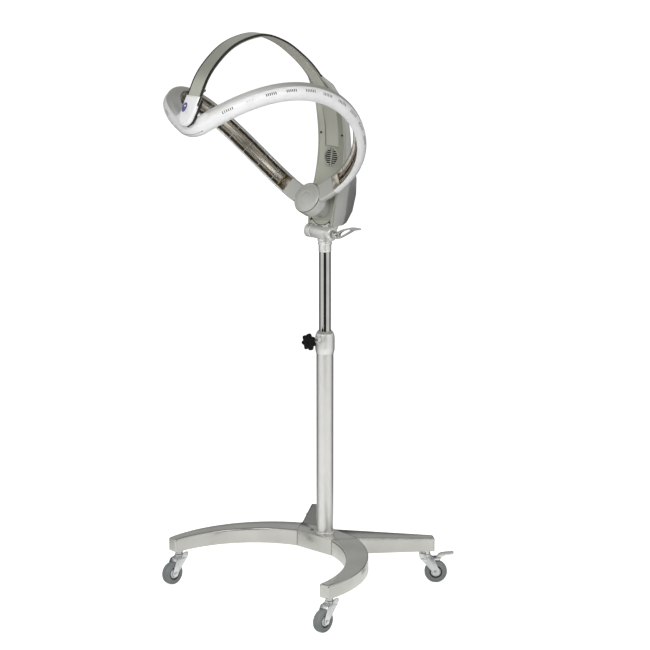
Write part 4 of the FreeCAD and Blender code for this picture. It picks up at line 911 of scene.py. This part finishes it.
def cover_row(p):
    """The front panel's section: a rim, a step down and the panel between."""
    w = p.x
    rim = [(-w, 0.8 - RIM_H), (0.8 - w, -RIM_H), (RIM_W - 0.5 - w, -RIM_H), (RIM_W - w, 0.4 - RIM_H),
           (RIM_W + 1 - w, -0.3), (RIM_W + 1.6 - w, 0)]
    outline = rim + [(-x, y) for x, y in reversed(rim)] + [(w, PLATE_T), (-w, PLATE_T)]
    return [P(x, p.y + y, p.z) for x, y in outline]


def on_grille(p):
    """From the fan guard's own frame to its place on the leaning panel."""
    turn = Quaternion(X, radians(-GRILLE_LEAN))
    return turn @ p + P(0, GRILLE_Y, GRILLE_Z)


def shell_row(level, inset):
    """The rear shell's section, or its inside where inset by the wall."""
    z, y, w, depth, shoulder, back = level
    front = y + PLATE_T
    side = w - inset
    rear = back - inset * 0.6
    wide = side + (0 if inset else SHELL_BULGE)
    return [P(x, c, z) for x, c in
            ((-side, front), (-wide, y + depth * shoulder), (-rear, y + depth - inset),
             (rear, y + depth - inset), (wide, y + depth * shoulder), (side, front))]


def build_front_panel():
    bore = Solid().rod(Y * -40, Y * 20, GRILLE_R + SEAT_GAP, 72).moved(on_grille)
    shaft = Solid().rod(REAR_PIVOT, REAR_PIVOT - AXIS * 120, 30, 72)
    holes = Solid()
    for x, y, z in SCREW_PLACES:
        holes.rod(P(x, y - 10, z), P(x, y + 10, z), 1.8, 16)
    cover = Solid().loft([cover_row(p) for p in SPINE.sampled(72)])
    make("spine_front_panel", cover, "head", "spine", ["spine_front_cover"],
         [bore, shaft, holes, arch_channel()], bevel=0.5)


def build_rear_housing():
    floor = tuple(between(low, high, SHELL_WALL / 29) for low, high in zip(LEVELS[0], LEVELS[1]))
    hollow = Solid().loft([shell_row(level, SHELL_WALL) for level in [floor] + LEVELS[1:-1]])
    front = []
    for p in SPINE.sampled(40, -0.01, 1.01):
        x, near, far = p.x + 9, p.y - 20, p.y + PLATE_T + SEAT_GAP
        front.append([P(-x, near, p.z), P(x, near, p.z), P(x, far, p.z), P(-x, far, p.z)])
    seat = yoke_plan(SPINE_HALF[0] - SHELL_WALL, -16, 46.5, SPINE_FRONT[0][0] - 1)
    louvres = Solid()
    for k in range(LOUVRES):
        louvres.block(P(0, 90, LOUVRE_FIRST_Z + LOUVRE_STEP * k), LOUVRE_SIZE)
    cuts = [hollow, Solid().loft(front), Solid().slab(seat, Z * 7.3), louvres, arch_channel()]
    shell = Solid().loft([shell_row(level, 0) for level in LEVELS])
    make("spine_rear_housing", shell, "head", "shell", ["spine_rear_shell"], cuts, bevel=0.9, crease=12)


def build_fan_guard():
    disc = Solid().spin([(0, 0), (25.6, 0), (26, -0.4), (27.2, -0.4), (27.6, 0), (GRILLE_R, 0.6),
                         (GRILLE_R, PLATE_T), (0, PLATE_T)], P(0, 0, 0), Y, 96)
    slots = Solid()
    low = GRILLE_SLOT_HALF
    for i in range(GRILLE_ROWS):
        dz = (i - (GRILLE_ROWS - 1) / 2) * GRILLE_PITCH
        reach = sqrt((GRILLE_R - GRILLE_RIM) ** 2 - (abs(dz) + low) ** 2)
        for s in (-1, 1):
            ends = ((GRILLE_POST_HALF, -low), (reach, -low), (reach, low), (GRILLE_POST_HALF, low))
            slots.slab(softened([P(s * x, -8, dz + z) for x, z in ends], 1.2, 3), Y * 20)
    make("fan_guard", disc.moved(on_grille), "head", "spine", ["fan_grille"], [slots.moved(on_grille)],
         bevel=0.25)


def build_spine():
    build_front_panel()
    build_rear_housing()
    build_fan_guard()
    heads = Solid()
    for place in SCREW_PLACES:
        heads.spin([(0, -6), (1.5, -6), (1.5, 0), (3.2, 0), (3.2, 0.6), (2.9, 1.3), (2.2, 1.8), (1.5, 2.0),
                    (1.3, 1.0), (0, 0.9)], Vector(place) - Y * 0.2, -Y, 32)
    make("spine_screw_heads", heads, "head", "dark_trim_and_shade", ["spine_screws"])


# ------------------------------------------------------------ ring

def hoop_point(t, side):
    """A point of the tilted curve that one half hoop follows, from the front pivot to the rear one."""
    s = abs(sin(t))
    c = cos(t)
    gx = side * HOOP_SIDE * s ** HOOP_SIDE_POWER * (1 + HOOP_SIDE_SKEW * c)
    gw = HOOP_LIFT * s ** HOOP_LIFT_POWER * (1 + HOOP_LIFT_SKEW * c + HOOP_LIFT_CREST * (c * c - 1 / 3))
    a = radians(PARK_ANGLE)
    half = (FRONT_PIVOT - REAR_PIVOT) / 2
    drift = sum(size * sin((k + 1) * t) for k, size in enumerate(HOOP_DRIFT))
    return (REAR_PIVOT + half + half * c + AXIS * drift + X * (gx * cos(a) - gw * sin(a))
            + LIFT * (gx * sin(a) + gw * cos(a)))


def hoop_frame(turn, side):
    """Centre of the band, the way out and the way across it towards the lower edge."""
    t = radians(turn)
    p = hoop_point(t, side)
    tangent = (hoop_point(t + 0.002, side) - hoop_point(t - 0.002, side)).normalized()
    out = p - (REAR_PIVOT + FRONT_PIVOT) / 2
    out = (out - tangent * out.dot(tangent)).normalized()
    return p, out, tangent.cross(out) * side


def hoop_along(spot):
    return spot[1].cross(spot[2])


def at(spot, n, b):
    p, out, low = spot
    return p + out * n + low * b


def hoop_run(outline, first=HOOP_START, last=HOOP_END, n=110):
    """An outline of (out, low) carried along both half-hoops."""
    solid = Solid()
    for side in (1, -1):
        spots = [hoop_frame(t, side) for t in steps(first, last, n)]
        solid.loft([[at(spot, *q) for q in outline] for spot in spots])
    return solid


def shell_arc(s, n):
    """The outer skin of a shell, from the trough's edge to the seam; s is 1 in front, -1 behind."""
    h = BAND_W / 2
    return arc((-BAND_IN, s * h), (BAND_OUT * 0.55, s * (h - 3.5)), (BAND_OUT, s * 0.3), n)


def shell_outline(s):
    h = BAND_W / 2
    reach = BAND_OUT * 0.55 - 1.8
    inner = arc((BAND_OUT - WALL, s * 0.3), (reach, s * (h - 5.6)), (-BAND_IN, s * (h - WALL)), 10)
    seam = [(BAND_OUT - 0.5, s * 0.12), (BAND_OUT - WALL, s * 0.12)]
    lip = [(-BAND_IN - 0.4, s * (h - 1.6)), (-BAND_IN - 0.4, s * (h - 0.8))]
    return shell_arc(s, 16) + seam + inner + lip


def vent_turns():
    """The place along the hoop of each vent, by group."""
    for g in range(VENT_GROUPS):
        middle = VENT_FIRST + (VENT_GROUP_STEP - VENT_GROUP_CLOSING * g) * g
        yield g, [middle + VENT_STEP * (k - (VENTS_PER_GROUP - 1) / 2) for k in range(VENTS_PER_GROUP)]


def shell_surface(side, turn, low):
    """A point on the outer arc of the front shell, and the way out of it."""
    line = shell_arc(1, 60)
    k = min(range(1, 60), key=lambda i: abs(line[i][1] - low) + (50 if line[i][0] < 0 else 0))
    spot = hoop_frame(turn, side)
    ahead = at(spot, *line[k + 1]) - at(spot, *line[k - 1])
    normal = ahead.cross(hoop_along(spot)).normalized()
    p = at(spot, *line[k])
    return p, normal if normal.dot(p - spot[0]) > 0 else -normal


def vents(grow, start, depth):
    """A small block at every vent, from start above the shell's surface and depth high."""
    solid = Solid()
    a = VENT_WIDTH / 2 + grow
    b = VENT_LENGTH / 2 + grow
    for side in (1, -1):
        for g, turns in vent_turns():
            level = BAND_W * (VENT_LEVEL + VENT_SINKING * max(0, g - VENT_LEVEL_GROUPS))
            for turn in turns if g != VENT_PLAIN_GROUP else []:
                p, normal = shell_surface(side, turn, level)
                along = hoop_along(hoop_frame(turn, side))
                rise = along.cross(normal).normalized()
                outline = [q + normal * start for q in
                           traced(p, along, rise, ((-a, -b), (a, -b), (a, b), (-a, b)))]
                solid.slab(softened(outline, VENT_CORNER_R, 2), normal * depth)
    return solid


def build_ring_shells():
    make("ring_front_casings", hoop_run(shell_outline(1)), "ring", "white", ["ring_front_shells"],
         [vents(0, -4.5, 9)])
    make("ring_rear_casings", hoop_run(shell_outline(-1)), "ring", "pearl", ["ring_rear_shells"])
    # A dark liner behind the vents and dark plugs in every vent slot: painted shade for the dark inside of
    # the vents.
    shade_liner_arc = arc((1.8, 21.5), (8.2, 15.8), (11.3, 7.8), 8)
    shade_liner_outline = shade_liner_arc + [(n - 0.5, b) for n, b in reversed(shade_liner_arc)]
    make("vent_painted_shade_liner", hoop_run(shade_liner_outline, HOOP_START + 4, HOOP_END - 4, 90), "ring", "black")
    make("vent_painted_shade_plugs", vents(0.1, -1.3, 0.8), "ring", "black")
    dots = Solid()
    middle = VENT_FIRST + VENT_GROUP_STEP - VENT_GROUP_CLOSING
    for side in (1, -1):
        for turn in (middle - STATUS_DOT_STEP, middle, middle + STATUS_DOT_STEP):
            p, normal = shell_surface(side, turn, BAND_W * VENT_LEVEL)
            dots.spin([(0, -0.6), (0.9, -0.6), (0.9, 0.1), (0.6, 0.3), (0, 0.35)], p, normal, 20)
    make("ring_status_dots", dots, "ring", "black")


def nose_row(spot):
    """The hoop's whole section, both shells closed round it."""
    h = BAND_W / 2
    reach = BAND_OUT * 0.62
    front = arc((-BAND_IN, h), (reach, h - 5), (BAND_OUT, 0), 14)
    rear = arc((BAND_OUT, 0), (reach, 5 - h), (-BAND_IN, -h), 14)
    return [at(spot, n, b) for n, b in front + rear[1:]]


def faired(rows, n):
    """Rows joined by smooth curves through their points."""
    lines = [Spline(points) for points in zip(*rows)]
    return [[line.at(k / n) for line in lines] for k in range(n + 1)]


def build_nose():
    turns = [HOOP_START * share for share in NOSE_TURNS]
    spots = [hoop_frame(t, 1) for t in turns] + [hoop_frame(t, -1) for t in reversed(turns)]
    bore = Solid().rod(FRONT_PIVOT - AXIS * 8, FRONT_PIVOT + AXIS * 60, 5.05, 40)
    skin = faired([nose_row(spot) for spot in spots], 40)
    make("ring_nose_casing", Solid().loft(skin), "ring", "white", ["ring_nose"], [bore])
    seam = [row[NOSE_SEAM] for row in skin[9:32]]
    parting = Solid().bar(seam, 0.45, 8)
    parting.spin([(0, -0.6), (1.6, -0.6), (1.6, 0.5), (1.1, 0.8), (0, 0.9)], seam[0],
                 (seam[0] - spots[0][0]).normalized(), 20)
    make("nose_parting_line", parting, "ring", "black")


def lamp_ends():
    """Both ends of both troughs, with the way along the hoop."""
    for side in (1, -1):
        for turn in (LAMP_START, LAMP_END):
            spot = hoop_frame(turn, side)
            yield spot, hoop_along(spot)


def build_lamps():
    tubes, stripes, ferrules = Solid(), Solid(), Solid()
    outer = LAMP_R + 0.45
    inner = LAMP_R - 0.45
    for side in (1, -1):
        spots = [hoop_frame(t, side) for t in steps(LAMP_START, LAMP_END, 90)]
        for b in (-LAMP_SPREAD, LAMP_SPREAD):
            tubes.loft([[at(spot, -LAMP_SINK + LAMP_R * cos(t), b + LAMP_R * sin(t)) for t in round_turns(20)]
                        for spot in spots])
            for turn in LAMP_STRIPES:
                n0 = -LAMP_SINK + inner * cos(radians(turn))
                b0 = b + inner * sin(radians(turn))
                stripes.bar([at(spot, n0, b0) for spot in spots], STRIPE_R, 6)
    sleeve = [(LAMP_R, -3), (outer, -3), (outer, 3), (LAMP_R, 3)]
    for spot, along in lamp_ends():
        for b in (-LAMP_SPREAD, LAMP_SPREAD):
            ferrules.spin(sleeve, at(spot, -LAMP_SINK, b), along, 28)
    make("quartz_heater_tubes", tubes, "ring", "tubes", ["ring_heater_tubes"])
    make("heater_tube_stripes", stripes, "ring", "stripe")
    make("heater_tube_ferrules", ferrules, "ring", "gold")


def build_heaters():
    h = BAND_W / 2 - WALL - 0.3
    outer = arc((1 - BAND_IN, h), (2.5, 0), (1 - BAND_IN, -h), 22)
    inner = arc((1 - BAND_IN, -h + 1.2), (1.3, 0), (1 - BAND_IN, h - 1.2), 22)
    fluted = [(n - (0.35 if k % 2 else 0), b) for k, (n, b) in enumerate(inner)]
    make("heater_reflectors", hoop_run(outer + fluted, n=90), "ring", "reflector", ["ring_reflectors"])
    build_lamps()
    line = [(2 - BAND_IN, -h - 0.2), (0.4 - BAND_IN, -h), (-BAND_IN - 0.4, -h + 1.2),
            (-BAND_IN - 0.4, h - 1.2), (0.4 - BAND_IN, h), (2 - BAND_IN, h + 0.2)]
    wires = Solid()
    for side in (1, -1):
        for t in steps(HOOP_START + 14, HOOP_END - 10, WIRES):
            wires.bar([at(hoop_frame(t, side), n, b) for n, b in line], WIRE_R, 10)
    make("heater_guard_wires", wires, "ring", "zinc", ["ring_guard_wires"])
    plates = Solid()
    outline = mirrored([(1 - BAND_IN, 19.8), (-8.5, 17.6), (-4.0, 13.5), (-1.2, 9.0)])
    for spot, along in lamp_ends():
        plates.slab(softened([at(spot, n, b) for n, b in outline], 2, 3), along * 2)
        for b in (-14, 0, 14):
            pin = at(spot, 3.4 - BAND_IN, b) + along
            plates.spin([(0, -2.2), (1.6, -2.2), (1.6, 2.2), (0, 2.2)], pin, along, 16)
    make("heater_end_plates", plates, "ring", "gold", ["ring_end_plates"], bevel=0.25)


def on_panel(p):
    """The point of the front panel that lies behind p along the ring's axis."""
    for _ in range(3):
        front = min(SPINE.sampled(200), key=lambda q: abs(q.z - p.z)).y + 0.4
        p = p + AXIS * ((front - p.y) / AXIS.y)
    return p


def build_hub():
    c = REAR_PIVOT
    face = HUB_FRONT - DOME_SINK
    front = c + AXIS * face
    drum = Solid().spin([(0, -HUB_BACK), (HUB_R - 4, -HUB_BACK), (HUB_R - 1.2, 1.2 - HUB_BACK),
                         (HUB_R, 4 - HUB_BACK), (HUB_R, face - 3), (HUB_R - 0.8, face - 0.8),
                         (HUB_R - 2.4, face), (0, face)], c, AXIS, 96)
    for side in (1, -1):
        drum.loft(faired([nose_row(hoop_frame(t, side)) for t in ARM_TURNS], 12))
    seat = Solid().rod(front, c + AXIS * 80, HUB_R - 1.5, 96)
    make("ring_hub_casting", drum, "ring", "hub", ["ring_hub"], [seat], melt=1.1)
    shaft = Solid().rod(c - AXIS * SHAFT_LENGTH, c - AXIS * (HUB_BACK - 2), SHAFT_R, 48)
    make("ring_drive_shaft", shaft, "ring", "screw")
    dome = [(0, 6.8), (8, 6.7), (15, 6.35), (15.5, 6.22), (16.3, 6.22), (16.8, 6.25), (24, 5.8), (31, 5.1),
            (36, 4.5), (36.5, 4.1), (37.2, 4.1), (37.7, 4.3), (40.4, 3.6), (42, 2.7), (42.8, 1.6),
            (HUB_R - 2, 0.4), (HUB_R - 2, 0), (0, 0)]
    make("ring_hub_dome", Solid().spin(dome, front, AXIS, 96), "ring", "hub", ["ring_hub_cover"])
    edge = HUB_R - 0.9
    gasket = Solid().spin([(30, -1.2), (edge, -1.2), (edge, 0.3), (30, 0.3)], front, AXIS, 96)
    make("ring_hub_gasket", gasket, "ring", "dark_trim_and_shade")
    # The dark bar is a painted shadow of the gap between the hub and the panel; the bright rib runs beside
    # it.
    for name, finish, reach, thick in (("hub_bow_painted_shadow", "dark_trim_and_shade", 3, 1.1), ("hub_bow_rib", "collar", 7, 1.6)):
        turns = [radians(BOW_FIRST - BOW_SWEEP * k / 24) for k in range(25)]
        line = [on_panel(c + (X * cos(t) + LIFT * sin(t)) * (HUB_R + reach)) for t in turns]
        make(name, Solid().bar(line, thick, 10), "head", finish)


build_base()
build_casters()
build_column()
build_bracket()
build_arch()
build_cap()
build_spine()
build_ring_shells()
build_nose()
build_heaters()
build_hub()


# ------------------------------------------------------------ pieces kept as constructed

KEPT = {
    "column": ("lower_column",),
    "chrome": ("mast_tube",),
    "black": ("mast_guide", "fan_frame", "fan_rotor"),
    "zinc": ("ring_motor",),
    "screw": ("height_knob_screw", "tilt_pin", "front_pivot_pin"),
    "shell": ("hub_carrier",),
}


def dress_frame():
    for finish, names in KEPT.items():
        for name in names:
            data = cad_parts[name].data
            data.materials.clear()
            data.materials.append(FINISHES[finish].material)


dress_frame()


# ------------------------------------------------------------ studio

CAMERA_PLACE = Vector((5.507, -5.803, 2.701))
CAMERA_FOCAL, CAMERA_TILT, CAMERA_TURN = 161.2, 76.36, 43.5
FRONT = Vector((CAMERA_PLACE.x, CAMERA_PLACE.y, 0)).normalized()
FLOOR_HALF, SCREEN_SIDES, SCREEN_R, SCREEN_HEIGHT = 30.0, 72, 2.7, 3.2
SOFTBOX_SIZE, SOFTBOX_DISTANCE, SOFTBOX_HEIGHT, SOFTBOX_AIM = (1.2, 2.2), 2.7, 2.3, (0, 0, 0.9)
FRONT_GAP, FLOOR_REAR, SCREEN_REAR = (20, 32), (80, 122), (82, 112)
LOW_TO_HIGH = (0.5, 0.8)


def bare_tree(tree):
    """The finish methods, on the tree of the world."""
    finish = Finish.__new__(Finish)
    finish.tree = tree
    return finish


def studio_rays(finish):
    """1 where the camera, a gloss or a glass ray looks, 0 for the rays that light the object."""
    eye, gloss, glass = [finish.ray(kind) for kind in ("Camera", "Glossy", "Transmission")]
    return eye.math("MAXIMUM", eye.math("MAXIMUM", eye, gloss), glass), eye, gloss


def white_room():
    world = bpy.data.worlds.new("white_room")
    bpy.context.scene.world = world
    world.use_nodes = True
    world.node_tree.nodes.clear()
    room = bare_tree(world.node_tree)
    seen, eye, _ = studio_rays(room)
    way = room.node("ShaderNodeTexCoord", out="Generated")
    overhead = room.part(way, "Z").above(0.35, 0.7)
    shown = room.tint(overhead * (1 - eye), grey(1), grey(0.16))
    colour = room.tint(seen, grey(0.32), shown)
    shade = room.node("ShaderNodeBackground", inputs={"Color": colour, "Strength": 1.0})
    room.node("ShaderNodeOutputWorld", inputs={"Surface": shade})


def sheet(name, points, faces, finish):
    mesh = bpy.data.meshes.new(name)
    mesh.from_pydata(points, [], faces)
    mesh.materials.append(finish.material)
    thing = placed(name, mesh)
    return thing


def turned_away(finish, span):
    """0 to 1 over a span of degrees, as a place turns away from the camera's side."""
    x, y = finish.part(finish.place, "X"), finish.part(finish.place, "Y")
    toward = x * FRONT.x + y * FRONT.y
    across = y * FRONT.x - x * FRONT.y
    return across.math("ABSOLUTE", across.math("ARCTAN2", across, toward)).above(*[radians(a) for a in span])


def white_floor():
    paper = Finish("white_paper", "floor")
    seen, _, mirror = studio_rays(paper)
    away = paper.vector("LENGTH", paper.place, out="Value").above(0.5, 0.9)
    rear = turned_away(paper, FLOOR_REAR) * away * mirror
    glow = paper.tint(seen, grey(0), paper.tint(mirror, grey(0.85), grey(0.44)))
    white = paper.tint(paper.grain(30, 3).above(0.3, 0.7), grey(0.86), grey(0.88))
    paper.surface(paper.tint(rear, white, grey(0.1)), 0.9, Emission_Color=paper.tint(rear, glow, grey(0)),
                  Emission_Strength=1.0, Specular_IOR_Level=0.0)
    r = FLOOR_HALF
    sheet("studio_floor", [(-r, -r, 0), (r, -r, 0), (r, r, 0), (-r, r, 0)], [(0, 1, 2, 3)], paper)


def flag_screens():
    """Round screen that only gloss sees: white, with a dark gap in front and a dark rear."""
    cloth = Finish("screen_cloth", "screen")
    gap = 1 - turned_away(cloth, FRONT_GAP)
    rear = turned_away(cloth, SCREEN_REAR)
    high = cloth.part(cloth.place, "Z").above(*LOW_TO_HIGH)
    behind = cloth.tint(high, grey(0.03), grey(0.42))
    sides = cloth.tint(high, grey(0.72), grey(0.85))
    colour = cloth.tint(rear, cloth.tint(gap, sides, grey(0.02)), behind)
    shade = cloth.node("ShaderNodeEmission", inputs={"Color": colour, "Strength": 1.0})
    cloth.node("ShaderNodeOutputMaterial", inputs={"Surface": shade})
    n = SCREEN_SIDES
    points = [(SCREEN_R * cos(t), SCREEN_R * sin(t), z) for z in (0.0, SCREEN_HEIGHT) for t in round_turns(n)]
    faces = [(k, (k + 1) % n, n + (k + 1) % n, n + k) for k in range(n)]
    screen = sheet("flag_screen", points, faces, cloth)
    screen.visible_camera = False
    screen.visible_diffuse = False
    screen.visible_transmission = False
    screen.visible_shadow = False


def stood(name, data, place, turn):
    """A lamp or camera set in the studio."""
    holder = bpy.data.objects.new(name, data)
    holder.location = place
    holder.rotation_euler = turn
    bpy.context.scene.collection.objects.link(holder)
    return holder


def softbox(name, turn, power):
    """A large soft lamp, turned from the camera's side."""
    lamp = bpy.data.lights.new(name, "AREA")
    lamp.shape = "RECTANGLE"
    lamp.size, lamp.size_y = SOFTBOX_SIZE
    lamp.energy = power
    angle = atan2(FRONT.y, FRONT.x) + radians(turn)
    place = Vector((SOFTBOX_DISTANCE * cos(angle), SOFTBOX_DISTANCE * sin(angle), SOFTBOX_HEIGHT))
    way = (Vector(SOFTBOX_AIM) - place).to_track_quat("-Z", "Y").to_euler()
    stood(name, lamp, place, way).visible_camera = False


def camera():
    lens = bpy.data.cameras.new("product_camera")
    lens.lens = CAMERA_FOCAL
    lens.sensor_width = 36
    turn = (radians(CAMERA_TILT), 0, radians(CAMERA_TURN))
    bpy.context.scene.camera = stood("product_camera", lens, CAMERA_PLACE, turn)


white_room()
white_floor()
flag_screens()
softbox("left_softbox", -26, 31)
softbox("right_softbox", 20, 30)
camera()
bpy.context.scene.view_settings.view_transform = "Standard"
